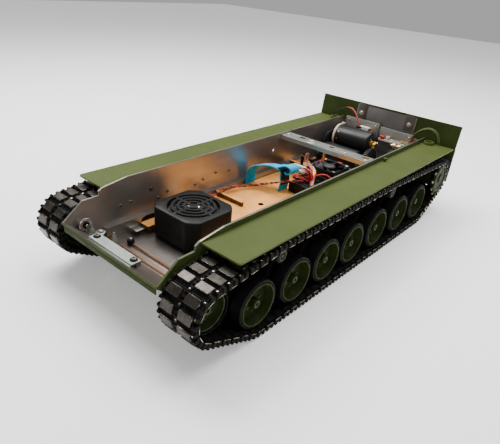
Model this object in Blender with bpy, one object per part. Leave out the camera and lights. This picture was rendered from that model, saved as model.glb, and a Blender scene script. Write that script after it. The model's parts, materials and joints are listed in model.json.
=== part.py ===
"""A 1:16 scale tracked tank chassis: open aluminium hull, sprung road wheels, tracks and drive.

Metres, +Z up. The origin is on the ground under the middle of the vehicle, the front faces -Y and the
vehicle's left side is +X. Stations along the length are given from the origin.
"""
import math

import bmesh
import bpy
from mathutils import Matrix, Vector

MM = 0.001
GAP = 0.3 * MM                      # clearance between pieces that touch

# hull
WALL_IN, WALL_OUT = 62.7 * MM, 64.7 * MM
FLOOR_LOW, FLOOR_TOP = 30.0 * MM, 32.0 * MM
SHEET = 2.0 * MM
WALL_TOP = 89.6 * MM
NOSE_Y, NOSE_Z = -229.3 * MM, 62.4 * MM
NOSE_FOOT_Y = -188.4 * MM
SHOULDER_Y = -191.2 * MM
TAIL_Y = 230.0 * MM                 # rear face of the rear bulkhead
BULKHEAD_TOP = 85.0 * MM
RAIL_IN, RAIL_TOP = 58.0 * MM, 46.0 * MM
RAIL_FRONT, RAIL_BACK = -189.0 * MM, 143.0 * MM

# fenders and rear plate
FENDER_TOP, FENDER_THICK, FENDER_OUT = 84.5 * MM, 1.6 * MM, 105.0 * MM
FENDER_FRONT, FENDER_BACK = -186.0 * MM, 229.6 * MM
REAR_HALF, REAR_LOW, REAR_TOP = 106.0 * MM, 67.0 * MM, 113.0 * MM
REAR_LEAN = 6.2 * MM
FLAP_LOW = 38.0 * MM

# running gear
WHEEL_STATIONS = [y * MM for y in (-154.0, -102.0, -52.5, -4.0, 48.5, 102.5, 155.0)]
TORSION_STAGGER = 9.7 * MM          # the right-hand bars lie this far ahead of the left-hand ones
WHEEL_R, BELT_GAP, TRACK_THICK = 22.5 * MM, 0.5 * MM, 6.4 * MM
WHEEL_Z = WHEEL_R + BELT_GAP + TRACK_THICK
WHEEL_IN, WHEEL_OUT = 71.5 * MM, 102.0 * MM
ARM_LENGTH, PIVOT_Z = 22.0 * MM, 34.0 * MM
ARM_IN, ARM_OUT = 65.2 * MM, 70.4 * MM
BAR_R, HUB_R, AXLE_R = 1.0 * MM, 2.6 * MM, 2.5 * MM
BAR_END = 36.5 * MM                 # a bar is clamped this far past the middle of the hull
IDLER_Y, IDLER_Z, IDLER_R = -206.0 * MM, 47.8 * MM, 20.5 * MM
TENSIONER_Y, TENSIONER_Z = -209.9 * MM, 57.8 * MM
SPROCKET_Y, SPROCKET_Z, PITCH_R = 205.0 * MM, 50.0 * MM, 22.2 * MM
SPROCKET_TEETH, TOOTH_TIP_R = 12, 23.4 * MM
ROLLER_STATIONS = [y * MM for y in (-133.0, 63.0)]
ROLLER_Z, ROLLER_R = 69.3 * MM, 6.8 * MM

# tracks
TRACK_IN, TRACK_OUT = 67.2 * MM, 107.0 * MM
TRACK_LINKS = 84
TRACK_INNER_TO_PITCH = 2.8 * MM
TOOTH_CHANNEL = 4.1 * MM            # width of the track's edge that the sprocket's teeth run through

# drive
MOTOR_R, MOTOR_LONG, MOTOR_SHAFT_R = 16.0 * MM, 57.0 * MM, 1.6 * MM
MOTOR_LEFT = (192.0 * MM, 71.0 * MM)
MOTOR_RIGHT = (164.0 * MM, 50.0 * MM)
MODULE = 0.8 * MM
PINION_TEETH, COUNTER_TEETH, SMALL_TEETH, FINAL_TEETH = 12, 44, 16, 40

# inside the hull
CROSSBAR_Y, CROSSBAR_DEEP, CROSSBAR_TOP = 84.0 * MM, 19.0 * MM, 88.0 * MM
BOARD_TOP, BOARD_THICK = 40.0 * MM, 3.0 * MM
BOARD_FRONT, BOARD_BACK = -151.0 * MM, 136.0 * MM
SPEAKER_MIN = Vector((-45.0, -151.0, 36.6)) * MM
SPEAKER_MAX = Vector((17.5, -90.5, 66.0)) * MM
STRAP_Y, STRAP_WIDE, STRAP_THICK = 26.5 * MM, 18.0 * MM, 1.8 * MM
STRAP_LAY, STRAP_FOOT_X = 0.36, -17.5 * MM     # the arch runs askew: this far back for each unit to the left
STRAP_ARCH = [(-56.0, 40.3), (-56.2, 49.0), (-55.6, 54.0), (-54.2, 58.2), (-51.2, 62.4), (-46.2, 65.3),
              (-38.6, 67.4), (-30.6, 68.6), (-23.6, 68.0), (-18.4, 66.2), (-16.3, 63.0), (-16.0, 57.4),
              (-15.4, 51.4), (-15.8, 46.6), (-16.8, 40.3)]
STRAP_CURL = [(-25.0, 67.8), (-19.4, 69.2), (-13.6, 72.4), (-8.5, 73.8), (-4.0, 72.8), (-2.4, 69.8), (-3.8, 66.4),
              (-7.8, 64.6), (-10.8, 66.0)]
FAN_AT = Vector((0.0, 99.0, 60.0)) * MM
FAN_HALF, FAN_DEEP = 20.0 * MM, 9.0 * MM

GREEN = (0.16, 0.2, 0.09)
BLACK = (0.02, 0.02, 0.022)
BARE = (0.55, 0.54, 0.52)


# ---------------------------------------------------------------- helpers

def clear_scene():
    for old in list(bpy.data.objects):
        bpy.data.objects.remove(old, do_unlink=True)


def material(name, color, roughness, metallic):
    mat = bpy.data.materials.new(name)
    mat.use_nodes = True
    shader = mat.node_tree.nodes["Principled BSDF"]
    shader.inputs["Base Color"].default_value = (*color, 1.0)
    shader.inputs["Roughness"].default_value = roughness
    shader.inputs["Metallic"].default_value = metallic
    return mat


def link(name, mesh, at=(0.0, 0.0, 0.0)):
    obj = bpy.data.objects.new(name, mesh)
    obj.location = at
    bpy.context.scene.collection.objects.link(obj)
    return obj


def finish_mesh(bm, name, mat=None, smooth=False):
    bmesh.ops.recalc_face_normals(bm, faces=bm.faces)
    mesh = bpy.data.meshes.new(name)
    bm.to_mesh(mesh)
    bm.free()
    if mat:
        mesh.materials.append(mat)
    if smooth:
        mesh.shade_smooth()
        mesh.set_sharp_from_angle(angle=math.radians(35))
    return mesh


def box_mesh(low, high, name="box"):
    bm = bmesh.new()
    bmesh.ops.create_cube(bm, size=1.0)
    low, high = Vector(low), Vector(high)
    size = high - low
    bmesh.ops.scale(bm, vec=size, verts=bm.verts)
    bmesh.ops.translate(bm, vec=(low + high) / 2, verts=bm.verts)
    return finish_mesh(bm, name)


def extrude_outline(outline, start, end, axis, name="outline"):
    """A closed outline of two coordinates, pushed from start to end along axis 0, 1 or 2."""
    def place(point, depth):
        values = list(point)
        values.insert(axis, depth)
        return values
    bm = bmesh.new()
    near = [bm.verts.new(place(p, start)) for p in outline]
    far = [bm.verts.new(place(p, end)) for p in outline]
    bm.faces.new(near)
    bm.faces.new(list(reversed(far)))
    count = len(outline)
    for i in range(count):
        j = (i + 1) % count
        bm.faces.new((near[i], far[i], far[j], near[j]))
    return finish_mesh(bm, name)


def turned(profile, segments, name="turned"):
    """A closed solid turned about X from (x, radius) points; a zero radius is a point on the axis."""
    bm = bmesh.new()
    rings = []
    for x, radius in profile:
        if radius == 0:
            rings.append([bm.verts.new((x, 0, 0))])
            continue
        ring = []
        for i in range(segments):
            angle = math.tau * i / segments
            ring.append(bm.verts.new((x, radius * math.cos(angle), radius * math.sin(angle))))
        rings.append(ring)
    closed = profile[0][1] > 0
    pairs = list(zip(rings, rings[1:]))
    if closed:
        pairs.append((rings[-1], rings[0]))
    for first, second in pairs:
        for i in range(segments):
            j = (i + 1) % segments
            corners = [first[i % len(first)], first[j % len(first)],
                       second[j % len(second)], second[i % len(second)]]
            distinct = list(dict.fromkeys(corners))
            if len(distinct) > 2:
                bm.faces.new(distinct)
    return finish_mesh(bm, name)


def rod(x0, x1, radius, segments=12, y=0.0, z=0.0):
    mesh = turned([(x0, 0), (x0, radius), (x1, radius), (x1, 0)], segments)
    mesh.transform(Matrix.Translation((0, y, z)))
    return mesh


def post(x, y, z0, z1, radius, segments=12):
    mesh = turned([(z0, 0), (z0, radius), (z1, radius), (z1, 0)], segments)
    mesh.transform(Matrix.Translation((x, y, 0)) @ Matrix.Rotation(-math.pi / 2, 4, "Y"))
    return mesh


def combined(base, tools, operation, name):
    """The base mesh joined with, or cut by, each tool mesh in turn."""
    body = link(name + "_work", base)
    for number, tool in enumerate(tools):
        helper = link(f"{name}_tool_{number}", tool)
        modifier = body.modifiers.new("cut", "BOOLEAN")
        modifier.operation = operation
        modifier.object = helper
        depsgraph = bpy.context.evaluated_depsgraph_get()
        result = bpy.data.meshes.new_from_object(body.evaluated_get(depsgraph))
        body.modifiers.clear()
        body.data = result
        bpy.data.objects.remove(helper, do_unlink=True)
    mesh = body.data
    bpy.data.objects.remove(body, do_unlink=True)
    mesh.name = name
    return mesh


def joined(meshes, name):
    return combined(meshes[0], meshes[1:], "UNION", name)


def cut(base, tools, name):
    return combined(base, tools, "DIFFERENCE", name)


def mirrored(mesh):
    """A copy of a mesh reflected to the other side of the vehicle."""
    bm = bmesh.new()
    bm.from_mesh(mesh)
    bmesh.ops.scale(bm, vec=(-1, 1, 1), verts=bm.verts)
    return finish_mesh(bm, mesh.name + "_mirrored")


def dressed(mesh, mat, smooth=False):
    mesh.materials.clear()
    mesh.materials.append(mat)
    if smooth:
        mesh.shade_smooth()
        mesh.set_sharp_from_angle(angle=math.radians(35))
    return mesh


SIDES = (("left", 1), ("right", -1))


def sided(mesh, side):
    return mesh if side > 0 else mirrored(mesh)


# ---------------------------------------------------------------- hull

def wheel_stations(side):
    shift = 0.0 if side > 0 else -TORSION_STAGGER
    return [y + shift for y in WHEEL_STATIONS]


def pivot_stations(side):
    drop = PIVOT_Z - WHEEL_Z
    reach = math.sqrt(ARM_LENGTH ** 2 - drop ** 2)
    return [y - reach for y in wheel_stations(side)]


def wall_outline():
    """Side view of a hull wall, from the nose along the top to the tail."""
    nose_top = [(NOSE_Y, NOSE_Z), (-208.0 * MM, 78.6 * MM), (SHOULDER_Y, 79.0 * MM)]
    rise = [(SHOULDER_Y, 83.3 * MM), (-187.0 * MM, 85.6 * MM), (-160.5 * MM, WALL_TOP)]
    tail = [(TAIL_Y, WALL_TOP), (TAIL_Y, FLOOR_LOW), (NOSE_FOOT_Y, FLOOR_LOW)]
    return nose_top + rise + tail


def bottom_outline():
    """Side view of the folded bottom sheet: nose plate, floor and rear bulkhead."""
    slope = Vector((NOSE_FOOT_Y - NOSE_Y, FLOOR_LOW - NOSE_Z)).normalized()
    inward = Vector((-slope.y, slope.x)) * SHEET
    return [(NOSE_Y, NOSE_Z), (NOSE_FOOT_Y, FLOOR_LOW), (TAIL_Y, FLOOR_LOW),
            (TAIL_Y, BULKHEAD_TOP), (TAIL_Y - SHEET, BULKHEAD_TOP), (TAIL_Y - SHEET, FLOOR_TOP),
            (NOSE_FOOT_Y + 0.8 * MM, FLOOR_TOP), (NOSE_Y + inward.x, NOSE_Z + inward.y)]


def hull_tub(mat):
    sheet = extrude_outline(bottom_outline(), -WALL_OUT, WALL_OUT, 0)
    pieces = [sheet]
    for _, side in SIDES:
        pieces.append(extrude_outline(wall_outline(), side * WALL_IN, side * WALL_OUT, 0))
        low = (min(side * RAIL_IN, side * (WALL_IN + MM)), RAIL_FRONT, FLOOR_TOP - MM)
        high = (max(side * RAIL_IN, side * (WALL_IN + MM)), RAIL_BACK, RAIL_TOP)
        pieces.append(box_mesh(low, high))
        boss = side * 58.0 * MM
        pieces.append(rod(boss, side * 63.5 * MM, 5.0 * MM, 12, TENSIONER_Y, TENSIONER_Z))
    body = joined(pieces, "hull_body")
    holes = []
    for _, side in SIDES:
        inner, outer = side * (RAIL_IN - MM), side * (WALL_OUT + MM)
        for y in pivot_stations(side):
            holes.append(rod(inner, outer, HUB_R + 2 * GAP, 10, y, PIVOT_Z))
        holes.append(rod(inner, outer, 4.3 * MM, 12, SPROCKET_Y, SPROCKET_Z))
        for y in ROLLER_STATIONS:
            holes.append(rod(inner, outer, 2.4 * MM, 8, y, ROLLER_Z))
    link("hull_tub", dressed(cut(body, holes, "hull_tub"), mat))


def fenders(mat):
    corner = 3.0 * MM
    outline = [(WALL_OUT + GAP, FENDER_FRONT), (WALL_OUT + GAP, FENDER_BACK), (FENDER_OUT, FENDER_BACK)]
    for i in range(5):
        angle = math.radians(-90 * i / 4)
        outline.append((FENDER_OUT - corner + corner * math.cos(angle),
                        FENDER_FRONT + corner + corner * math.sin(angle)))
    plate = extrude_outline(outline, FENDER_TOP - FENDER_THICK, FENDER_TOP, 2)
    for name, side in SIDES:
        link("fender_" + name, dressed(sided(plate, side), mat))


def rear_plate(mat):
    low_y = TAIL_Y + GAP
    outline = [(low_y, REAR_LOW), (low_y + REAR_LEAN, REAR_TOP),
               (low_y + REAR_LEAN + SHEET, REAR_TOP), (low_y + SHEET, REAR_LOW)]
    plate = extrude_outline(outline, -REAR_HALF, REAR_HALF, 0)
    tabs = []
    for x in (-37.0 * MM, 37.0 * MM):
        lean = REAR_LEAN / (REAR_TOP - REAR_LOW)
        z0, z1 = 91.0 * MM, 111.5 * MM
        y0, y1 = low_y + lean * (z0 - REAR_LOW), low_y + lean * (z1 - REAR_LOW)
        strip = [(y0 - 1.2 * MM, z0), (y1 - 1.2 * MM, z1), (y1 + MM, z1), (y0 + MM, z0)]
        tabs.append(extrude_outline(strip, x - 6.5 * MM, x + 6.5 * MM, 0))
    link("rear_plate", dressed(joined([plate] + tabs, "rear_plate"), mat))


def mud_flaps(mat):
    back = TAIL_Y + SHEET + 2 * GAP
    flap = box_mesh((68.0 * MM, back, FLAP_LOW), (REAR_HALF, back + 1.5 * MM, 82.0 * MM))
    lean = REAR_LEAN / (REAR_TOP - REAR_LOW)
    bm = bmesh.new()
    bm.from_mesh(flap)
    for vert in bm.verts:
        vert.co.y += lean * max(0.0, vert.co.z - REAR_LOW)
    bmesh.ops.translate(bm, vec=(0, 0.4 * MM, 0), verts=bm.verts)
    flap = finish_mesh(bm, "mud_flap")
    for name, side in SIDES:
        link("mud_flap_" + name, dressed(sided(flap, side), mat))


# ---------------------------------------------------------------- running gear

def road_wheels(mat):
    middle = (WHEEL_IN + WHEEL_OUT) / 2
    profile = [(98.4, 0), (100.6, 6.2), (97.6, 8.2), (98.2, 17.2), (102.0, 19.6), (102.0, 22.5),
               (71.5, 22.5), (71.5, 2.9), (95.0, 2.9), (95.0, 0)]
    points = [(x * MM - middle, r * MM) for x, r in profile]
    wheel = dressed(turned(points, 16, "road_wheel"), mat, smooth=True)
    for name, side in SIDES:
        mesh = wheel if side > 0 else dressed(mirrored(wheel), mat, smooth=True)
        for number, y in enumerate(wheel_stations(side), 1):
            link(f"road_wheel_{name}_{number}", mesh, (side * middle, y, WHEEL_Z))


def swing_arm_mesh():
    """Arm, hub, wheel axle and torsion bar, about the pivot at the mesh's origin."""
    drop = PIVOT_Z - WHEEL_Z
    reach = math.sqrt(ARM_LENGTH ** 2 - drop ** 2)
    radius_in, radius_out = 4.6 * MM, 4.2 * MM
    outline = []
    tilt = math.atan2(-drop, reach)
    for centre, radius, first in (((0, 0), radius_in, tilt + math.pi / 2),
                                  ((reach, -drop), radius_out, tilt - math.pi / 2)):
        for i in range(5):
            angle = first + math.pi * i / 4
            outline.append((centre[0] + radius * math.cos(angle), centre[1] + radius * math.sin(angle)))
    web = extrude_outline(outline, ARM_IN, ARM_OUT, 0)
    hub = rod(RAIL_IN - 0.6 * MM, ARM_IN + MM, HUB_R, 10)
    bar = rod(-BAR_END, RAIL_IN, BAR_R, 6)
    axle = rod(ARM_OUT - MM, 94.0 * MM, AXLE_R, 8, reach, -drop)
    return joined([web, hub, bar, axle], "swing_arm")


def swing_arms(mat):
    arm = dressed(swing_arm_mesh(), mat)
    for name, side in SIDES:
        mesh = arm if side > 0 else dressed(mirrored(arm), mat)
        for number, y in enumerate(pivot_stations(side), 1):
            link(f"swing_arm_{name}_{number}", mesh, (0, y, PIVOT_Z))


def idlers(mat):
    profile = [(96.0, 5.5), (92.5, 7.5), (92.5, 14.0), (96.0, 16.8), (98.5, 17.6), (98.5, 20.5),
               (72.0, 20.5), (72.0, 6.0), (66.0, 6.0), (66.0, 3.0)]
    points = [(96.0, 0)] + profile + [(65.0, 3.0), (65.0, 0)]
    wheel = turned([(x * MM, min(r * MM, IDLER_R)) for x, r in points], 18, "idler")
    for name, side in SIDES:
        link("idler_" + name, dressed(sided(wheel, side), mat, smooth=True), (0, IDLER_Y, IDLER_Z))


def return_rollers(mat):
    profile = [(105.0, 0), (105.0, 6.5), (98.0, 6.5), (98.0, 4.0), (76.0, 4.0), (76.0, 6.5),
               (69.0, 6.5), (69.0, 2.0), (60.5, 2.0), (60.5, 0)]
    roller = turned([(x * MM, r * MM) for x, r in profile], 12, "return_roller")
    for name, side in SIDES:
        mesh = dressed(sided(roller, side), mat, smooth=True)
        for number, y in enumerate(ROLLER_STATIONS, 1):
            link(f"return_roller_{name}_{number}", mesh, (0, y, ROLLER_Z))


def toothed_outline(teeth, root, tip, root_share, tip_share, phase=0.0):
    """Points around a gear; the shares are a tooth's width at root and tip over the tooth pitch."""
    outline = []
    pitch = math.tau / teeth
    for i in range(teeth):
        centre = phase + i * pitch
        steps = [(-root_share / 2, root), (-tip_share / 2, tip), (tip_share / 2, tip), (root_share / 2, root)]
        if tip_share == 0:
            steps = [(-0.5, root), (0.0, tip)]
        for share, radius in steps:
            angle = centre + share * pitch
            outline.append((radius * math.cos(angle), radius * math.sin(angle)))
    return outline


def gear_mesh(teeth, x0, x1, phase):
    radius = MODULE * teeth / 2
    outline = toothed_outline(teeth, radius - 0.95 * MM, radius + 0.55 * MM, 1.0, 0.0, phase)
    return extrude_outline(outline, x0, x1, 0)


def sprockets(mat, phases):
    """Hub drum, two toothed rings at the track's edges, axle and final gear, as one turned piece."""
    outline = toothed_outline(SPROCKET_TEETH, 17.6 * MM, TOOTH_TIP_R, 0.42, 0.12)
    outer = extrude_outline(outline, 103.2 * MM, 105.6 * MM, 0)
    inner = extrude_outline(outline, 68.6 * MM, 71.0 * MM, 0)
    drum = turned([(x * MM, r * MM) for x, r in (
        (107.0, 0), (107.0, 5.0), (105.2, 9.0), (105.2, 14.0), (69.0, 14.0), (69.0, 5.5),
        (66.0, 5.5), (66.0, 0))], 16)
    for name, side in SIDES:
        gear_x = (30.0 * MM, 36.0 * MM) if side > 0 else (58.7 * MM, 62.2 * MM)
        axle = rod(gear_x[0] + 0.5 * MM, 67.0 * MM, 4.0 * MM, 10)
        gear = gear_mesh(FINAL_TEETH, gear_x[0], gear_x[1], phases[name]["final"])
        mesh = joined([drum.copy(), outer.copy(), inner.copy(), axle, gear], "sprocket_" + name)
        link("sprocket_" + name, dressed(sided(mesh, side), mat, smooth=True), (0, SPROCKET_Y, SPROCKET_Z))


# ---------------------------------------------------------------- tracks

def belt_circles(offset, side):
    """The circles a side's track runs round, from the sprocket over the top; radii to the inside."""
    first, last = wheel_stations(side)[0], wheel_stations(side)[-1]
    wheel = WHEEL_R + BELT_GAP
    rings = [(SPROCKET_Y, SPROCKET_Z, PITCH_R - TRACK_INNER_TO_PITCH),
             (ROLLER_STATIONS[1], ROLLER_Z, ROLLER_R), (ROLLER_STATIONS[0], ROLLER_Z, ROLLER_R),
             (IDLER_Y, IDLER_Z, IDLER_R + BELT_GAP), (first, WHEEL_Z, wheel), (last, WHEEL_Z, wheel)]
    return [(y, z, r + offset) for y, z, r in rings]


def belt_points(circles):
    """Points along the taut loop round the circles, a few degrees apart on the bends."""
    starts, ends = [], []
    count = len(circles)
    for i in range(count):
        (y0, z0, r0), (y1, z1, r1) = circles[i], circles[(i + 1) % count]
        away = math.atan2(z1 - z0, y1 - y0)
        distance = math.hypot(y1 - y0, z1 - z0)
        normal = away - math.acos((r0 - r1) / distance)
        ends.append(normal)
        starts.append(normal)
    path = []
    for i in range(count):
        y, z, r = circles[i]
        a0, a1 = starts[i - 1], ends[i]
        while a1 < a0:
            a1 += math.tau
        steps = max(2, int((a1 - a0) / math.radians(3)))
        for k in range(steps + 1):
            angle = a0 + (a1 - a0) * k / steps
            path.append(Vector((y + r * math.cos(angle), z + r * math.sin(angle))))
    return path


def resample(path, count):
    """Points and unit outward normals at count even steps round a closed path."""
    rear = max(range(len(path)), key=lambda i: path[i].x)
    path = path[rear:] + path[:rear]
    closed = path + [path[0]]
    lengths = [0.0]
    for a, b in zip(closed, closed[1:]):
        lengths.append(lengths[-1] + (b - a).length)
    total = lengths[-1]
    points = []
    cursor = 0
    for i in range(count):
        target = total * i / count
        while lengths[cursor + 1] < target:
            cursor += 1
        span = lengths[cursor + 1] - lengths[cursor]
        share = (target - lengths[cursor]) / span if span else 0.0
        a, b = closed[cursor], closed[cursor + 1]
        tangent = (b - a).normalized()
        points.append((a.lerp(b, share), Vector((tangent.y, -tangent.x))))
    return points


def track_mesh(side):
    """A closed band, narrowed at both edges where the sprocket's tooth rings run through it."""
    samples = resample(belt_points(belt_circles(TRACK_INNER_TO_PITCH, side)), TRACK_LINKS * 2)
    count = len(samples)
    centre = Vector((SPROCKET_Y, SPROCKET_Z))
    reach = TOOTH_TIP_R + 3 * GAP
    near = [(point - normal * TRACK_INNER_TO_PITCH - centre).length < reach for point, normal in samples]
    kept = []
    for i, (point, normal) in enumerate(samples):
        behind, ahead = i - 1, (i + 1) % count
        bends = (samples[ahead][1] - samples[behind][1]).length > 0.02
        if bends or not near[behind] == near[i] == near[ahead]:
            kept.append((point, normal, near[i]))
    edges = [TRACK_IN, TRACK_IN + TOOTH_CHANNEL, TRACK_OUT - TOOTH_CHANNEL, TRACK_OUT]
    low, high = -TRACK_INNER_TO_PITCH, TRACK_THICK - TRACK_INNER_TO_PITCH
    bm = bmesh.new()
    grid = []
    for point, normal, _ in kept:
        grid.append([[bm.verts.new((x, *(point + normal * depth))) for depth in (low, high)] for x in edges])
    solid = []
    for i, here in enumerate(kept):
        narrow = here[2] or kept[(i + 1) % len(kept)][2]
        solid.append((not narrow, True, not narrow))
    for i, cells in enumerate(solid):
        j = (i + 1) % len(kept)
        for cell in range(3):
            if cells[cell]:
                for depth in (0, 1):
                    bm.faces.new((grid[i][cell][depth], grid[j][cell][depth],
                                  grid[j][cell + 1][depth], grid[i][cell + 1][depth]))
                for side, neighbour in ((cell, cell - 1), (cell + 1, cell + 1)):
                    if not (0 <= neighbour <= 2 and cells[neighbour]):
                        bm.faces.new((grid[i][side][0], grid[j][side][0],
                                      grid[j][side][1], grid[i][side][1]))
            if cells[cell] != solid[i - 1][cell]:
                bm.faces.new((grid[i][cell][0], grid[i][cell + 1][0],
                              grid[i][cell + 1][1], grid[i][cell][1]))
    loose = [v for v in bm.verts if not v.link_faces]
    bmesh.ops.delete(bm, geom=loose, context="VERTS")
    return finish_mesh(bm, "track")


def tracks(mat):
    for name, side in SIDES:
        link("track_" + name, dressed(sided(track_mesh(side), side), mat))


# ---------------------------------------------------------------- drive

def gear_layout():
    """Shaft positions of both gear trains and the tooth phases that bring them into mesh."""
    first = MODULE * (PINION_TEETH + COUNTER_TEETH) / 2
    second = MODULE * (SMALL_TEETH + FINAL_TEETH) / 2
    layout = {}
    for name, motor, which in (("left", MOTOR_LEFT, "front"), ("right", MOTOR_RIGHT, "upper")):
        a, b = Vector(motor), Vector((SPROCKET_Y, SPROCKET_Z))
        line = b - a
        along = (first ** 2 - second ** 2 + line.length_squared) / (2 * line.length)
        height = math.sqrt(first ** 2 - along ** 2)
        unit = line.normalized()
        sideways = Vector((-unit.y, unit.x)) * height
        options = [a + unit * along + sideways, a + unit * along - sideways]
        shaft = min(options, key=lambda p: p.x) if which == "front" else max(options, key=lambda p: p.y)
        to_motor = math.atan2(a.y - shaft.y, a.x - shaft.x)
        to_final = math.atan2(b.y - shaft.y, b.x - shaft.x)
        layout[name] = {
            "shaft": shaft,
            "counter": to_motor,
            "pinion": to_motor + math.pi + math.pi / PINION_TEETH,
            "small": to_final,
            "final": to_final + math.pi + math.pi / FINAL_TEETH,
        }
    return layout


def counter_gears(mat, layout):
    for name, side in SIDES:
        spec = layout[name]
        if side > 0:
            large, small, end = (9.2 * MM, 14.8 * MM), (29.6 * MM, 36.4 * MM), 38.5 * MM
        else:
            large, small, end = (53.2 * MM, 57.2 * MM), (58.0 * MM, 62.2 * MM), 62.2 * MM
        gear = gear_mesh(COUNTER_TEETH, large[0], large[1], spec["counter"])
        pinion = gear_mesh(SMALL_TEETH, small[0], small[1], spec["small"])
        shaft = rod(large[0] + 0.4 * MM, small[0] + MM, 3.0 * MM, 10)
        stub = rod(small[0] + 2 * MM, end + 0.2 * MM, 2.0 * MM, 8)
        mesh = joined([gear, shaft, pinion, stub], "counter_gear_" + name)
        at = (0, spec["shaft"].x, spec["shaft"].y)
        link("counter_gear_" + name, dressed(sided(mesh, side), mat), at)


def pinions(mat, layout):
    for name, side in SIDES:
        spec = layout[name]
        x0, x1 = (9.4 * MM, 14.6 * MM) if side > 0 else (53.4 * MM, 57.0 * MM)
        mesh = gear_mesh(PINION_TEETH, x0, x1, spec["pinion"])
        y, z = MOTOR_LEFT if side > 0 else MOTOR_RIGHT
        link("pinion_" + name, dressed(sided(mesh, side), mat), (0, y, z))


def motors(mat):
    for name, side in SIDES:
        y, z = MOTOR_LEFT if side > 0 else MOTOR_RIGHT
        front = 7.6 * MM if side > 0 else 51.6 * MM
        back = front - MOTOR_LONG
        shell = turned([(front, 0), (front, 6.0 * MM), (front - 1.6 * MM, 6.6 * MM), (front - 1.6 * MM, MOTOR_R),
                        (back + 5.0 * MM, MOTOR_R), (back + 3.0 * MM, MOTOR_R - 1.6 * MM), (back, 8.0 * MM),
                        (back, 0)], 24)
        foot_low = FLOOR_TOP + GAP - z
        foot = box_mesh((back + 14 * MM, -5.0 * MM, foot_low), (front - 12 * MM, 5.0 * MM, -MOTOR_R + 2 * MM))
        mesh = joined([shell, foot], "motor_" + name) if side > 0 else shell
        link("motor_" + name, dressed(sided(mesh, side), mat, smooth=True), (0, y, z))


# ---------------------------------------------------------------- fittings inside the hull

def crossbar(mat):
    half, top = WALL_IN - GAP, CROSSBAR_TOP
    y0, y1 = CROSSBAR_Y - CROSSBAR_DEEP / 2, CROSSBAR_Y + CROSSBAR_DEEP / 2
    wall = 1.2 * MM
    channel = [(y0, top), (y1, top), (y1, top - 5 * MM), (y1 - wall, top - 5 * MM), (y1 - wall, top - wall),
               (y0 + wall, top - wall), (y0 + wall, top - 5 * MM), (y0, top - 5 * MM)]
    bar = extrude_outline(channel, -half, half, 0)
    spacer = post(2.0 * MM, y0 + 4.5 * MM, 69.5 * MM, top - wall / 2, 1.5 * MM, 8)
    slots = []
    for x, wide in ((-37.5 * MM, 8.0 * MM), (6.0 * MM, 6.0 * MM), (53.0 * MM, 8.0 * MM)):
        slots.append(box_mesh((x - wide / 2, CROSSBAR_Y + 1.0 * MM, top - 3 * MM),
                              (x + wide / 2, CROSSBAR_Y + 6.0 * MM, top + MM)))
    link("crossbar", dressed(cut(joined([bar, spacer], "bar"), slots, "crossbar"), mat))


def front_bracket(mat):
    top, thick = 61.6 * MM, 1.4 * MM
    strip = box_mesh((-32.5 * MM, -222.5 * MM, top - thick), (26.5 * MM, -212.7 * MM, top))
    legs = [box_mesh((x - 4 * MM, -217.5 * MM, 56.3 * MM), (x + 4 * MM, -213.0 * MM, top - thick / 2))
            for x in (-28.0 * MM, 22.0 * MM)]
    bar = box_mesh((-22.0 * MM, -221.6 * MM, 59.6 * MM), (10.0 * MM, -217.0 * MM, top - thick / 2))
    link("front_bracket", dressed(joined([strip, bar] + legs, "front_bracket"), mat))


def base_board(mat):
    low, high = BOARD_TOP - BOARD_THICK, BOARD_TOP
    half = RAIL_IN - 0.8 * MM
    board = box_mesh((-half, BOARD_FRONT, low), (half, BOARD_BACK, high))
    ribs = [box_mesh((-56.8 * MM, -46.4 * MM, high - MM), (-16.6 * MM, -43.4 * MM, 45.2 * MM)),
            box_mesh((-56.8 * MM, 93.4 * MM, high - MM), (-28.0 * MM, 96.4 * MM, 51.0 * MM))]
    legs = [box_mesh((x - 4 * MM, y - 3 * MM, FLOOR_TOP + GAP), (x + 4 * MM, y + 3 * MM, low + MM))
            for x, y in [(side * across * MM, along * MM) for _, side in SIDES
                         for across, along in ((51, -144), (44, -56), (44, 60))]]
    body = joined([board] + ribs + legs, "board_body")
    hole = post(-7.7 * MM, -24.0 * MM, low - MM, high + MM, 3.4 * MM, 12)
    room = 0.4 * MM
    notch = box_mesh((SPEAKER_MIN.x - room, BOARD_FRONT - MM, low - MM),
                     (SPEAKER_MAX.x + room, SPEAKER_MAX.y + room, high + MM))
    link("base_board", dressed(cut(body, [hole, notch], "base_board"), mat))


def speaker(mat):
    low, high = SPEAKER_MIN, SPEAKER_MAX
    chamfer = 9.0 * MM
    corners = [(low.x, low.y, 1, 1), (high.x, low.y, -1, 1), (high.x, high.y, -1, -1), (low.x, high.y, 1, -1)]
    outline = []
    for x, y, dx, dy in corners:
        first, second = (x, y + dy * chamfer), (x + dx * chamfer, y)
        outline += [first, second] if dx * dy > 0 else [second, first]
    shell = extrude_outline(outline, low.z, high.z, 2)
    wall = 2.2 * MM
    centre = Vector(((low.x + high.x) / 2, (low.y + high.y) / 2))
    well = [((x - centre.x) * 0.9 + centre.x, (y - centre.y) * 0.9 + centre.y) for x, y in outline]
    cavity = extrude_outline(well, low.z + 12.0 * MM, high.z - wall, 2)
    slots = []
    for ring in (8.0 * MM, 15.0 * MM, 22.0 * MM):
        for quarter in range(4):
            start = math.radians(45 + 90 * quarter + 8)
            points = []
            for radius, order in ((ring - 1.7 * MM, 1), (ring + 1.7 * MM, -1)):
                arc = [start + math.radians(74) * k / 4 for k in range(5)][::order]
                points += [(centre.x + radius * math.cos(a), centre.y + radius * math.sin(a)) for a in arc]
            slots.append(extrude_outline(points, high.z - wall - MM, high.z + MM, 2))
    link("speaker_box", dressed(cut(shell, [cavity] + slots, "speaker_box"), mat))


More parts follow.
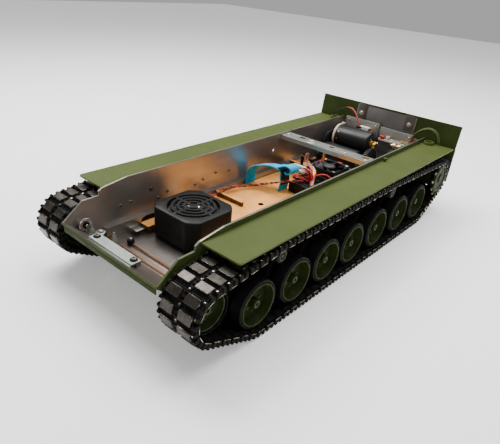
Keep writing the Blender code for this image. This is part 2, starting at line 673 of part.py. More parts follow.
def band_outline(line, thick):
    """A band of even thickness laid along a line of (x, z) points."""
    points = [Vector(p) for p in line]
    over, under = [], []
    for i, point in enumerate(points):
        ahead = (points[min(i + 1, len(points) - 1)] - points[max(i - 1, 0)]).normalized()
        out = Vector((-ahead.y, ahead.x)) * thick / 2
        over.append(point + out)
        under.append(point - out)
    return over + under[::-1]


def battery_strap(mat):
    """A hook-and-loop strap standing up from the board in an arch, with its free end curled over."""
    bands = []
    for line in (STRAP_ARCH, STRAP_CURL):
        outline = band_outline([Vector(p) * MM for p in line], STRAP_THICK)
        bands.append(extrude_outline(outline, STRAP_Y - STRAP_WIDE / 2, STRAP_Y + STRAP_WIDE / 2, 1))
    skew = Matrix.Identity(4)
    skew[1][0], skew[1][3] = STRAP_LAY, -STRAP_LAY * STRAP_FOOT_X
    bands[0].transform(skew)
    link("battery_strap", dressed(joined(bands, "battery_strap"), mat))


def electronics(mats):
    receiver = box_mesh((-11 * MM, 30 * MM, BOARD_TOP + GAP), (23 * MM, 61 * MM, 52.5 * MM))
    link("receiver_box", dressed(receiver, mats["plastic"]))
    x, y, z = FAN_AT
    low = z - FAN_DEEP
    case = box_mesh((-25 * MM, 76 * MM, BOARD_TOP + GAP), (30 * MM, 132 * MM, low + 0.5 * MM))
    frame = box_mesh((x - FAN_HALF, y - FAN_HALF, low), (x + FAN_HALF, y + FAN_HALF, z))
    body = joined([case, frame], "controller_body")
    bore = post(x, y, low + 1.5 * MM, z + MM, 18.8 * MM, 20)
    link("speed_controller", dressed(cut(body, [bore], "speed_controller"), mats["plastic"]))
    hub = turned([(low + 1.9 * MM - z, 0), (low + 1.9 * MM - z, 8.6 * MM), (-0.5 * MM, 8.6 * MM), (-0.5 * MM, 0)], 14)
    hub.transform(Matrix.Rotation(-math.pi / 2, 4, "Y"))
    blades = []
    for i in range(7):
        blade = box_mesh((7.5 * MM, -0.6 * MM, low + 2.4 * MM - z), (18.0 * MM, 0.6 * MM, -1.0 * MM))
        blade.transform(Matrix.Rotation(math.tau * i / 7, 4, "Z") @ Matrix.Rotation(math.radians(25), 4, "X"))
        blades.append(blade)
    rotor = joined([hub] + blades, "fan_rotor")
    link("fan_rotor", dressed(rotor, mats["plastic"]), (x, y, z))


def smooth_route(points, per_span):
    """Catmull-Rom points through a route."""
    pts = [Vector(p) for p in points]
    padded = [pts[0] * 2 - pts[1]] + pts + [pts[-1] * 2 - pts[-2]]
    result = []
    for a, b, c, d in zip(padded, padded[1:], padded[2:], padded[3:]):
        for k in range(per_span):
            t = k / per_span
            result.append(0.5 * ((2 * b) + (c - a) * t + (2 * a - 5 * b + 4 * c - d) * t ** 2
                                 + (3 * b - a - 3 * c + d) * t ** 3))
    result.append(pts[-1])
    return result


def lead(name, route, radius, mat):
    curve = bpy.data.curves.new(name, "CURVE")
    curve.dimensions = "3D"
    curve.bevel_depth = radius
    curve.bevel_resolution = 2
    curve.use_fill_caps = True
    points = smooth_route([Vector(p) * MM for p in route], 2)
    spline = curve.splines.new("POLY")
    spline.points.add(len(points) - 1)
    for target, point in zip(spline.points, points):
        target.co = (*point, 1.0)
    curve.materials.append(mat)
    obj = bpy.data.objects.new(name, curve)
    bpy.context.scene.collection.objects.link(obj)


SPEAKER_LEAD = [(-40.0, -89.9, 50.0), (-43.0, -72.0, 49.0), (-46.5, -54.0, 48.0), (-51.0, -36.0, 47.6),
                (-51.0, -24.0, 46.0), (-47.0, -9.0, 44.5), (-38.0, 4.0, 45.5), (-27.0, 7.0, 50.0),
                (-15.5, 7.5, 55.0), (-9.0, 14.5, 57.0), (-4.0, 25.0, 56.0), (1.0, 37.0, 54.6), (5.5, 50.0, 54.4)]
RIBBON_LEAD = [(-28.0, 92.0, 67.3), (-27.5, 87.5, 68.2), (-24.5, 82.0, 65.8), (-16.0, 75.5, 62.2),
               (-4.0, 68.0, 61.5), (4.5, 60.0, 60.0), (9.5, 50.0, 57.5), (16.0, 38.0, 56.0), (22.0, 30.0, 57.0)]


def leads(mats):
    lead("speaker_lead", SPEAKER_LEAD, 1.4 * MM, mats["red"])
    lead("ribbon_lead", RIBBON_LEAD, 1.9 * MM, mats["yellow"])


# ---------------------------------------------------------------- assembly

def main():
    clear_scene()
    bare = material("bare_aluminium", BARE, 0.35, 1.0)
    green = material("green_paint", GREEN, 0.55, 0.0)
    steel = material("dark_steel", (0.08, 0.075, 0.07), 0.45, 0.8)
    black = material("black_plastic", BLACK, 0.5, 0.0)
    wheel = material("wheel_green", (0.1, 0.14, 0.07), 0.5, 0.0)
    copper = material("spring_steel", (0.5, 0.33, 0.2), 0.35, 1.0)
    zinc = material("zinc_steel", (0.6, 0.6, 0.58), 0.4, 1.0)
    wood = material("fibreboard", (0.75, 0.5, 0.28), 0.8, 0.0)
    blue = material("blue_strap", (0.08, 0.5, 0.75), 0.9, 0.0)
    brass = material("brass", (0.8, 0.6, 0.25), 0.3, 1.0)
    rubber = material("black_rubber", (0.015, 0.015, 0.015), 0.8, 0.0)
    red = material("red_wire", (0.7, 0.05, 0.04), 0.5, 0.0)
    yellow = material("yellow_wire", (0.8, 0.6, 0.1), 0.5, 0.0)

    hull_tub(bare)
    fenders(green)
    rear_plate(green)
    mud_flaps(rubber)
    road_wheels(wheel)
    swing_arms(copper)
    idlers(wheel)
    return_rollers(wheel)
    layout = gear_layout()
    sprockets(wheel, layout)
    tracks(steel)
    counter_gears(black, layout)
    pinions(brass, layout)
    motors(black)
    crossbar(zinc)
    front_bracket(zinc)
    base_board(wood)
    speaker(black)
    battery_strap(blue)
    electronics({"plastic": black})
    leads({"red": red, "yellow": yellow})


main()
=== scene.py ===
"""Looks of the tracked tank chassis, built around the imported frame: +Z up, front -Y.

Sizes and places are in millimetres, and mm() and MM turn them into the frame's metres. Lights, paths and
the speaker's outline are in metres.
"""

import json
import math

import bmesh
import bpy
from mathutils import Matrix, Vector


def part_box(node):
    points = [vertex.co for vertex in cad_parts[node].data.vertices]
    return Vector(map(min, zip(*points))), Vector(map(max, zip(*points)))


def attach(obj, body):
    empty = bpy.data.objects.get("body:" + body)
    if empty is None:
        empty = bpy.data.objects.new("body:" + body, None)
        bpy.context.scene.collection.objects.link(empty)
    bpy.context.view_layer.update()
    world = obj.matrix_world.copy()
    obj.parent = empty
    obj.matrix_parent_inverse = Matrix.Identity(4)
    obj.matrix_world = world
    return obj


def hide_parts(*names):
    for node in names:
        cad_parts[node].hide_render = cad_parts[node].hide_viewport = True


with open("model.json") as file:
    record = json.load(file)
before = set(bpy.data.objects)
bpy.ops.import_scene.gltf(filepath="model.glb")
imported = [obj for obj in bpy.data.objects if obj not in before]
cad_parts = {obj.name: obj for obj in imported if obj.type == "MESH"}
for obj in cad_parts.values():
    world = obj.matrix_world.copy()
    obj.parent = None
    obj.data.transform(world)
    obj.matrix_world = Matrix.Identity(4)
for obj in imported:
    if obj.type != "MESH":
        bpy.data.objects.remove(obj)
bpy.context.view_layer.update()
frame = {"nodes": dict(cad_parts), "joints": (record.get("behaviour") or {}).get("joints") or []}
MM = 0.001
SIDES = (("left", 1), ("right", -1))
JOINT_AT = {j["name"]: Vector(j["pos_m"]) for j in frame["joints"]}


def mm(x, y, z):
    """A place or a size given in millimetres."""
    return Vector((x, y, z)) * MM


def shift(x, y, z):
    return Matrix.Translation(mm(x, y, z))


def spin(degrees, axis="X"):
    return Matrix.Rotation(math.radians(degrees), 4, axis)


# ---------------------------------------------------------------- camera, light, floor

def place_camera():
    data = bpy.data.cameras.new("camera")
    camera = bpy.data.objects.new("camera", data)
    bpy.context.scene.collection.objects.link(camera)
    eye, target, roll = mm(286.95, -404.13, 267.57), mm(-0.193, -49.51, 29.12), math.radians(5.146)
    forward = (target - eye).normalized()
    right = forward.cross(Vector((0, 0, 1))).normalized()
    up = right.cross(forward)
    across = right * math.cos(roll) + up * math.sin(roll)
    above = up * math.cos(roll) - right * math.sin(roll)
    turn = Matrix((across, above, -forward)).transposed()
    camera.matrix_world = Matrix.Translation(eye) @ turn.to_4x4()
    data.lens, data.sensor_width = 34.18, 36.0
    data.clip_start, data.clip_end = 0.01, 10.0
    bpy.context.scene.camera = camera


def area_light(name, at, target, size, power, color=(1, 1, 1)):
    data = bpy.data.lights.new(name, "AREA")
    data.shape, data.size, data.size_y = "RECTANGLE", size[0], size[1]
    data.energy, data.color = power, color
    lamp = bpy.data.objects.new(name, data)
    bpy.context.scene.collection.objects.link(lamp)
    lamp.location = at
    lamp.rotation_euler = (Vector(target) - Vector(at)).to_track_quat("-Z", "Y").to_euler()


def light_scene():
    world = bpy.data.worlds.new("studio")
    world.use_nodes = True
    world.node_tree.nodes["Background"].inputs["Color"].default_value = (1.0, 1.0, 1.0, 1)
    world.node_tree.nodes["Background"].inputs["Strength"].default_value = 0.42
    bpy.context.scene.world = world
    area_light("key", (-0.62, -0.05, 0.98), (0, 0, 0.05), (0.6, 0.6), 16.0)
    area_light("overhead", (0.05, 0.45, 1.25), (0, 0.05, 0.05), (1.4, 1.0), 26.0)
    area_light("fill", (0.9, -0.9, 0.5), (0, -0.1, 0.05), (0.7, 0.5), 2.0)


# ---------------------------------------------------------------- finishes

class Finish:
    """A Principled material whose colour, roughness and relief come from procedural textures."""

    def __init__(self, name, color, roughness, metallic=0.0, **fixed):
        self.material = bpy.data.materials.new(name)
        self.material.use_nodes = True
        self.tree = self.material.node_tree
        self.shader = self.tree.nodes["Principled BSDF"]
        self.normal = None
        self.put(self.shader, "Base Color", (*color, 1))
        self.put(self.shader, "Roughness", roughness)
        self.put(self.shader, "Metallic", metallic)
        for socket, value in fixed.items():
            self.put(self.shader, socket.replace("_", " "), value)
        self.place = self.node("ShaderNodeTexCoord")

    def put(self, node, socket, value):
        if isinstance(value, bpy.types.NodeSocket):
            self.tree.links.new(value, node.inputs[socket])
        else:
            node.inputs[socket].default_value = value

    def node(self, kind, inputs=None, **settings):
        made = self.tree.nodes.new(kind)
        for key, value in settings.items():
            setattr(made, key, value)
        for socket, value in (inputs or {}).items():
            self.put(made, socket, value)
        return made

    def coords(self, stretch):
        where = {"Vector": self.place.outputs["Object"], "Scale": stretch}
        return self.node("ShaderNodeMapping", where).outputs["Vector"]

    def noise(self, scale, detail=3.0, stretch=(1, 1, 1), rough=0.55, warp=0.0):
        inputs = {"Vector": self.coords(stretch), "Scale": scale, "Detail": detail,
                  "Roughness": rough, "Distortion": warp}
        return self.node("ShaderNodeTexNoise", inputs).outputs["Fac"]

    def ramp(self, fac, low, high, start=0.35, end=0.65):
        """fac, between start and end, becomes low to high."""
        inputs = {"Value": fac, "From Min": start, "From Max": end, "To Min": low, "To Max": high}
        return self.node("ShaderNodeMapRange", inputs, interpolation_type="SMOOTHSTEP").outputs["Result"]

    def maths(self, operation, a, b=0.0):
        return self.node("ShaderNodeMath", {0: a, 1: b}, operation=operation).outputs["Value"]

    def mix(self, fac, a, b):
        made = self.node("ShaderNodeMix", data_type="RGBA")
        self.put(made, 0, fac)
        for index, value in ((6, a), (7, b)):
            self.put(made, index, (*value, 1) if isinstance(value, tuple) else value)
        return made.outputs[2]

    def axis(self, output, index):
        split = self.node("ShaderNodeSeparateXYZ", {0: self.place.outputs[output]})
        return split.outputs[index]

    def over(self, value, limit):
        return self.maths("GREATER_THAN", value, limit)

    def paint(self, color):
        self.put(self.shader, "Base Color", color)
        return self

    def gloss(self, value):
        self.put(self.shader, "Roughness", value)
        return self

    def metal(self, value):
        self.put(self.shader, "Metallic", value)
        return self

    def relief(self, height, strength=0.3, distance=0.1 * MM):
        inputs = {"Height": height, "Strength": strength, "Distance": distance}
        if self.normal is not None:
            inputs["Normal"] = self.normal
        self.normal = self.node("ShaderNodeBump", inputs).outputs["Normal"]
        self.put(self.shader, "Normal", self.normal)
        return self


def shade(color, factor):
    return tuple(min(1.0, c * factor) for c in color)


def simple(name, color, roughness, metallic=0.0, vary=0.18, blotch=120.0, grain=1800.0, stretch=(1, 1, 1),
           relief=0.25, deep=0.06 * MM, rough_span=0.12, **fixed):
    """Blotchy colour, a wandering roughness and a fine grain."""
    made = Finish(name, color, roughness, metallic, **fixed)
    large = made.noise(blotch, 4.0, stretch)
    fine = made.noise(grain, 3.0, stretch)
    tone = made.mix(made.ramp(large, 0.0, 1.0), shade(color, 1 - vary), shade(color, 1 + vary))
    made.paint(made.mix(made.ramp(fine, 0.0, 0.25, 0.5, 0.75), tone, shade(color, 1 - 2.2 * vary)))
    made.gloss(made.ramp(made.noise(blotch * 2.7, 4.0, stretch), roughness - rough_span,
                         roughness + rough_span))
    made.relief(fine, relief, deep)
    return made


# ---------------------------------------------------------------- mesh building

def smooth_route(points, per_span=6):
    """Catmull-Rom points through a route."""
    pts = [Vector(p) for p in points]
    ends = [pts[0] * 2 - pts[1]] + pts + [pts[-1] * 2 - pts[-2]]
    route = []
    for i in range(1, len(ends) - 2):
        a, b, c, d = ends[i - 1:i + 3]
        for k in range(per_span):
            t = k / per_span
            route.append(0.5 * ((2 * b) + (c - a) * t + (2 * a - 5 * b + 4 * c - d) * t * t
                                + (3 * b - a - 3 * c + d) * t ** 3))
    return route + [pts[-1]]


def route_frames(path):
    """A point, its direction and a steady pair of sideways directions along a path."""
    frames = []
    side = None
    for i, point in enumerate(path):
        ahead = (path[min(i + 1, len(path) - 1)] - path[max(i - 1, 0)]).normalized()
        if side is None:
            side = ahead.orthogonal().normalized()
        side = (side - ahead * side.dot(ahead)).normalized()
        frames.append((point, ahead, side, ahead.cross(side)))
    return frames


def eased(outline, size, closed=True, steps=2):
    """The outline with each corner rounded off."""
    pts = [Vector(p) for p in outline]
    result = []
    for i, corner in enumerate(pts):
        if not closed and i in (0, len(pts) - 1):
            result.append(corner)
            continue
        before, after = pts[i - 1], pts[(i + 1) % len(pts)]
        reach = min(size, (before - corner).length * 0.45, (after - corner).length * 0.45)
        start = corner + (before - corner).normalized() * reach
        end = corner + (after - corner).normalized() * reach
        for k in range(steps + 1):
            t = k / steps
            result.append(start * (1 - t) ** 2 + corner * 2 * t * (1 - t) + end * t * t)
    return result


def skin(bm, rings, closed=False, capped=False):
    """Faces from each ring of vertices to the next one, with an end face at either side if capped."""
    for a, b in list(zip(rings, rings[1:])) + ([(rings[-1], rings[0])] if closed else []):
        for k in range(len(a)):
            n = (k + 1) % len(a)
            bm.faces.new((a[k], a[n], b[n], b[k]))
    if capped:
        bm.faces.new(rings[0][::-1])
        bm.faces.new(rings[-1])


class Build:
    """Gathers the parts of one piece; each part has one of the piece's finishes."""

    def __init__(self, *finishes):
        self.bm = bmesh.new()
        self.finishes = finishes

    def add(self, bm, finish, at=None):
        if at is not None:
            bmesh.ops.transform(bm, matrix=at, verts=bm.verts)
        bmesh.ops.recalc_face_normals(bm, faces=bm.faces)
        for face in bm.faces:
            face.material_index = self.finishes.index(finish)
        mesh = bpy.data.meshes.new("part")
        bm.to_mesh(mesh)
        bm.free()
        self.bm.from_mesh(mesh)
        bpy.data.meshes.remove(mesh)
        return self

    def box(self, low, high, finish, bevel=0.3, at=None, segments=2):
        """A box with eased edges between two opposite corners, in millimetres."""
        corners = list(zip(mm(*low), mm(*high)))
        size = [max(pair) - min(pair) for pair in corners]
        middle = [sum(pair) / 2 for pair in corners]
        bm = bmesh.new()
        bmesh.ops.create_cube(bm, size=1.0)
        bmesh.ops.transform(bm, matrix=Matrix.Translation(middle) @ Matrix.Diagonal((*size, 1)),
                            verts=bm.verts)
        width = min(bevel * MM, min(size) * 0.45)
        if width > 0:
            bmesh.ops.bevel(bm, geom=bm.edges[:], offset=width, segments=segments, profile=0.5,
                            affect="EDGES")
        return self.add(bm, finish, at)

    def turned(self, profile, finish, segments=32, at=None, axis="X", loop=False, ease=0.0):
        """Turns (along, radius) points, in millimetres, about an axis."""
        profile = [(along * MM, radius * MM) for along, radius in profile]
        if ease:
            profile = [tuple(p) for p in eased(profile, ease * MM, loop)]
        bm = bmesh.new()
        rings = []
        for along, radius in profile:
            turns = [math.tau * k / segments for k in range(segments if radius > 1e-7 else 1)]
            rings.append([bm.verts.new((along, radius * math.cos(turn), radius * math.sin(turn)))
                          for turn in turns])
        for a, b in list(zip(rings, rings[1:])) + ([(rings[-1], rings[0])] if loop else []):
            for k in range(segments):
                n = (k + 1) % segments
                corners = list(dict.fromkeys((a[k % len(a)], a[n % len(a)], b[n % len(b)], b[k % len(b)])))
                if len(corners) > 2:
                    bm.faces.new(corners)
        if axis == "Z":
            bmesh.ops.rotate(bm, verts=bm.verts, matrix=Matrix.Rotation(-math.pi / 2, 3, "Y"))
        return self.add(bm, finish, at)

    def ring(self, profile, finish, segments, at=None, axis="X"):
        """A turned ring, whose profile closes on itself away from the axis."""
        return self.turned(profile, finish, segments, at, axis, True)

    def disc(self, x0, x1, radius, finish, segments=16, at=None, axis="X"):
        profile = [(x0, 0), (x0, radius), (x1, radius), (x1, 0)]
        return self.turned(profile, finish, segments, at, axis, ease=0.3)

    def bolt(self, at, direction, radius, height, finish, sides=0, place=None):
        """A screw head standing on a point: a socket head, or a plain one where its sides are given."""
        turn = Vector(direction).to_track_quat("X", "Z").to_matrix().to_4x4()
        foot = mm(*at) if place is None else place @ mm(*at)
        rim, floor_at = radius * 0.55, height * (1.0 if sides else 0.45)
        socket = [] if sides else [(height, rim), (floor_at, rim * 0.8)]
        profile = [(-0.2, 0), (-0.2, radius), (height * 0.75, radius), (height, radius * 0.82), *socket,
                   (floor_at, 0)]
        return self.turned(profile, finish, sides or 12, Matrix.Translation(foot) @ turn)

    def prism(self, outline, start, end, finish, bevel=0.0):
        """A (y, z) outline run from one x to another, in millimetres."""
        bm = bmesh.new()
        caps = [[bm.verts.new((x * MM, y * MM, z * MM)) for y, z in outline] for x in (start, end)]
        flat = [bm.faces.new(cap) for cap in caps]
        skin(bm, caps)
        if bevel:
            rims = [e for e in bm.edges if any(f in flat for f in e.link_faces)]
            bmesh.ops.bevel(bm, geom=rims, offset=bevel * MM, segments=2, profile=0.5, affect="EDGES")
        return self.add(bm, finish)

    def tube(self, path, radius, finish, sides=8):
        """A round wire along a path; both in metres."""
        bm = bmesh.new()
        turns = [math.tau * k / sides for k in range(sides)]
        rings = [[bm.verts.new(point + (side * math.cos(turn) + up * math.sin(turn)) * radius)
                  for turn in turns] for point, _, side, up in route_frames(path)]
        skin(bm, rings, capped=True)
        return self.add(bm, finish)

    def strip(self, path, across, thick, finish):
        """A flat strap along a path in metres, its width at each point lying along `across`."""
        bm = bmesh.new()
        thick *= MM
        rings = []
        for i, (point, wide) in enumerate(zip(path, across)):
            ahead = (path[min(i + 1, len(path) - 1)] - path[max(i - 1, 0)]).normalized()
            out, half = ahead.cross(wide).normalized() * thick / 2, wide / 2
            rim = wide.normalized() * min(thick * 0.3, wide.length * 0.2)
            upper = (out * 0.4 - half, out + rim - half, out - rim + half, out * 0.4 + half)
            lower = (half - out * 0.4, half - rim - out, rim - half - out, -half - out * 0.4)
            rings.append([bm.verts.new(point + offset) for offset in upper + lower])
        skin(bm, rings, capped=True)
        return self.add(bm, finish)

    def mesh(self, name):
        mesh = bpy.data.meshes.new(name)
        self.bm.to_mesh(mesh)
        self.bm.free()
        for finish in self.finishes:
            mesh.materials.append(finish.material)
        mesh.shade_smooth()
        mesh.set_sharp_from_angle(angle=math.radians(34))
        return mesh

    def done(self, name, replaces=()):
        """The finished piece, riding the chassis."""
        return piece(name, self.mesh(name), "chassis", replaces)


def piece(name, mesh, body, replaces=(), at=None):
    obj = bpy.data.objects.new(name, mesh)
    bpy.context.scene.collection.objects.link(obj)
    if at is not None:
        obj.matrix_world = at
    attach(obj, body)
    if replaces:
        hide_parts(*replaces)
    return obj


def at_joint(name):
    return Matrix.Translation(JOINT_AT[name + "_spin"])


def refinish(node, finish, bevel=0.0):
    """Gives a kept CAD node its finish and eased edges."""
    obj = frame["nodes"][node]
    obj.data.materials.clear()
    obj.data.materials.append(finish.material)
    for poly in obj.data.polygons:
        poly.material_index = 0
    if bevel:
        ease = obj.modifiers.new("edges", "BEVEL")
        ease.width, ease.segments, ease.limit_method = bevel * MM, 2, "ANGLE"
        ease.angle_limit = math.radians(40)


# ---------------------------------------------------------------- the part's finishes

def worn_by_radius(made, start, end, bare, rough):
    """Paint rubbed to bare metal beyond a radius from the piece's own X axis."""
    y, z = made.axis("Object", 1), made.axis("Object", 2)
    radius = made.maths("SQRT", made.maths("ADD", made.maths("MULTIPLY", y, y), made.maths("MULTIPLY", z, z)))
    ragged = made.maths("ADD", radius, made.maths("MULTIPLY", made.noise(900.0, 3.0), 1.2 * MM))
    mask = made.ramp(ragged, 0.0, 1.0, start, end)
    made.paint(made.mix(mask, made.shader.inputs["Base Color"].links[0].from_socket, bare))
    made.gloss(made.ramp(mask, made.shader.inputs["Roughness"].default_value, rough, 0.0, 1.0))
    made.metal(made.ramp(mask, 0.0, 0.9, 0.0, 1.0))
    return made


def hull_finish():
    """Bare rolled sheet inside, olive outside. Upward faces inside are darkened as painted shade; the wall
    tops carry painted shade on their inner half and a painted highlight line on their outer half.
    """
    made = Finish("hull_sheet", (0.5, 0.47, 0.44), 0.4, 0.9)
    wall, left_wall, plate, nose_start = 63.9 * MM, 62.2 * MM, 229.2 * MM, -186.5 * MM
    lip_z, lip_y, edge_x, rail_top = 61.9 * MM, -228.2 * MM, 63.5 * MM, 66.0 * MM
    x, y, z = (made.axis("Object", i) for i in range(3))
    nx, ny, nz = (made.axis("Normal", i) for i in range(3))
    outer_wall = made.maths("MULTIPLY", made.over(made.maths("ABSOLUTE", x), wall),
                            made.over(made.maths("ABSOLUTE", nx), 0.6))
    below = made.maths("LESS_THAN", nz, -0.3)
    tail = made.maths("MULTIPLY", made.over(y, plate), made.over(ny, 0.6))
    left_nose = made.maths("MULTIPLY", made.maths("LESS_THAN", y, nose_start), made.over(x, left_wall))
    lip = made.maths("MULTIPLY", made.over(z, lip_z), made.maths("LESS_THAN", y, lip_y))
    painted = made.maths("ADD", made.maths("ADD", outer_wall, below), made.maths("ADD", tail, left_nose))
    outside = made.maths("MINIMUM", made.maths("ADD", painted, lip), 1.0)
    # The outer half of the upward wall tops, which gets a painted highlight line.
    edge = made.maths("MULTIPLY", made.over(nz, 0.35), made.over(made.maths("ABSOLUTE", x), edge_x))
    cloud = made.noise(20.0, 5.0, (1, 0.45, 1), warp=0.6)
    streak = made.noise(420.0, 4.0, (1.0, 0.06, 1.0))
    bare = made.mix(made.ramp(cloud, 0.0, 1.0, 0.3, 0.7), (0.33, 0.29, 0.265), (0.42, 0.385, 0.36))
    bare = made.mix(made.ramp(streak, 0.0, 0.25, 0.45, 0.75), bare, (0.54, 0.5, 0.47))
    # Painted shade on upward bare faces: half-darkened everywhere, fully darkened on the wall tops above
    # rail_top.
    rim = made.over(nz, 0.35)
    bare = made.mix(made.maths("MULTIPLY", rim, 0.5), bare, (0.13, 0.115, 0.1))
    bare = made.mix(made.maths("MULTIPLY", rim, made.over(z, rail_top)), bare, (0.1, 0.095, 0.08))
    # Painted highlight line along the outer half of the wall tops.
    bare = made.mix(edge, bare, (0.36, 0.345, 0.27))
    olive = made.mix(made.ramp(made.noise(60.0, 4.0), 0.0, 1.0), (0.034, 0.05, 0.01), (0.05, 0.068, 0.016))
    made.paint(made.mix(outside, bare, olive))
    made.metal(made.ramp(outside, 0.88, 0.0, 0.0, 1.0))
    sheen = made.ramp(made.noise(30.0, 3.0), 0.3, 0.38)
    made.gloss(made.maths("ADD", sheen, made.maths("MULTIPLY", outside, 0.1)))
    made.relief(made.noise(11.0, 1.0), 0.12, 0.5 * MM)
    return made


def board_finish():
    """Fibreboard: a smooth tan face and cut edges browned by the cutter's heat."""
    made = Finish("fibreboard", (0.72, 0.47, 0.25), 0.62, Specular_IOR_Level=0.12)
    fibre = made.noise(900.0, 5.0, (1.0, 1.0, 0.2))
    cloud = made.noise(45.0, 3.0)
    face = made.mix(made.ramp(cloud, 0.0, 1.0), (0.68, 0.29, 0.065), (0.82, 0.37, 0.095))
    face = made.mix(made.ramp(fibre, 0.0, 0.3, 0.5, 0.75), face, (0.46, 0.23, 0.08))
    cut = made.maths("LESS_THAN", made.maths("ABSOLUTE", made.axis("Normal", 2)), 0.6)
    burnt = made.mix(made.ramp(made.noise(500.0, 3.0, (1, 1, 0.1)), 0.0, 1.0), (0.05, 0.025, 0.012),
                     (0.16, 0.08, 0.035))
    made.paint(made.mix(cut, face, burnt))
    made.gloss(made.ramp(cloud, 0.52, 0.7))
    made.relief(fibre, 0.2, 0.05 * MM)
    return made


def pad_finish():
    """Track pads rubbed to brown-grey metal with scratches along the run."""
    made = Finish("worn_pad", (0.3, 0.25, 0.21), 0.42, 0.75)
    patch = made.noise(160.0, 4.0)
    scratch = made.noise(1500.0, 3.0, (1.0, 0.12, 0.12))
    tone = made.mix(made.ramp(patch, 0.0, 1.0, 0.3, 0.7), (0.026, 0.022, 0.019), (0.05, 0.042, 0.035))
    made.paint(made.mix(made.ramp(scratch, 0.0, 0.5, 0.52, 0.76), tone, (0.11, 0.095, 0.08)))
    made.gloss(made.ramp(made.noise(120.0, 3.0), 0.26, 0.36))
    made.relief(scratch, 0.12, 0.06 * MM)
    return made


def strap_finish():
    """Brushed loop fabric: fuzzy, with soft matted patches."""
    made = Finish("strap_loop", (0.05, 0.4, 0.72), 0.92, 0.0, Sheen_Weight=0.05, Sheen_Roughness=0.4,
                  Specular_IOR_Level=0.2)
    fuzz = made.noise(2600.0, 4.0, rough=0.7)
    matted = made.noise(240.0, 3.0)
    tone = made.mix(made.ramp(matted, 0.0, 1.0), (0.002, 0.24, 0.46), (0.01, 0.36, 0.62))
    made.paint(made.mix(made.ramp(fuzz, 0.0, 0.45, 0.4, 0.7), tone, (0.03, 0.52, 0.76)))
    made.relief(matted, 0.4, 0.35 * MM)
    made.relief(fuzz, 0.7, 0.25 * MM)
    return made


def arm_finish():
    """Olive arm and axle outside the hull, copper-coloured torsion bar inside it."""
    made = Finish("arm_and_bar", (0.06, 0.085, 0.03), 0.5)
    inside = made.maths("LESS_THAN", made.maths("ABSOLUTE", made.axis("Object", 0)), 64.5 * MM)
    cloud = made.noise(180.0, 4.0)
    streak = made.noise(700.0, 3.0, (0.05, 1, 1))
    olive = made.mix(made.ramp(cloud, 0.0, 1.0), (0.04, 0.06, 0.02), (0.08, 0.105, 0.04))
    bar = made.mix(made.ramp(streak, 0.0, 1.0), (0.5, 0.25, 0.13), (0.74, 0.44, 0.28))
    made.paint(made.mix(inside, olive, bar))
    made.metal(made.ramp(inside, 0.0, 1.0, 0.0, 1.0))
    made.gloss(made.ramp(inside, 0.5, 0.28, 0.0, 1.0))
    made.relief(streak, 0.2, 0.04 * MM)
    return made


def lamp_sleeve_finish(name, limit, beyond):
    """A lamp lead: red near the motors and another colour past its sleeve, beyond a limit across."""
    made = Finish("wire_sleeve_" + name, (0.42, 0.02, 0.02), 0.4)
    fine = made.noise(1500.0, 3.0)
    red = made.mix(made.ramp(fine, 0.0, 1.0), (0.36, 0.018, 0.016), (0.5, 0.03, 0.026))
    out = made.maths("ABSOLUTE", made.axis("Object", 0))
    made.paint(made.mix(made.over(out, limit * MM), red, beyond))
    made.gloss(made.ramp(fine, 0.34, 0.46))
    made.relief(fine, 0.15, 0.04 * MM)
    return made


HULL = hull_finish()
FENDER = simple("fender_olive", (0.062, 0.08, 0.0175), 0.5, vary=0.05, blotch=28.0, grain=1400.0, relief=0.1,
                rough_span=0.06, Specular_IOR_Level=0.14)
# The rear plate's olive is the fender's paint darkened to under half: painted shade. The nose lip uses it
# too.
PLATE = simple("rear_olive", (0.026, 0.036, 0.008), 0.6, vary=0.12, blotch=35.0, grain=1400.0, relief=0.12,
               rough_span=0.06, Specular_IOR_Level=0.07)
# The wheels' olive is the fender's paint made four to five times darker: painted shade in the dishes. Raised
# rims, hub rings and bolt heads take a lighter olive that carries less painted shade.
WHEEL = simple("wheel_olive", (0.0125, 0.02, 0.0035), 0.5, vary=0.12, blotch=150.0, relief=0.08,
               rough_span=0.06, Specular_IOR_Level=0.06)
WHEEL_RIM = simple("wheel_olive_less_shade", (0.04, 0.052, 0.019), 0.42, vary=0.25, blotch=260.0, relief=0.15,
                   Specular_IOR_Level=0.1)
ARM = arm_finish()
TYRE = simple("tyre_rubber", (0.005, 0.005, 0.005), 0.6, vary=0.3, blotch=160.0, grain=2600.0, relief=0.25,
              Specular_IOR_Level=0.12)
TRACK = simple("track_black", (0.0055, 0.0055, 0.0055), 0.6, vary=0.3, blotch=220.0, relief=0.2,
               Specular_IOR_Level=0.05)
PAD = pad_finish()
# Brighter metal round the pad rims: partly edge wear, partly a painted highlight.
PAD_EDGE = simple("pad_edge", (0.1, 0.085, 0.072), 0.3, 0.9, vary=0.35, blotch=300.0, relief=0.1)
CONNECTOR = simple("connector_steel", (0.008, 0.007, 0.006), 0.6, vary=0.5, blotch=420.0, relief=0.2,
                   Specular_IOR_Level=0.05)
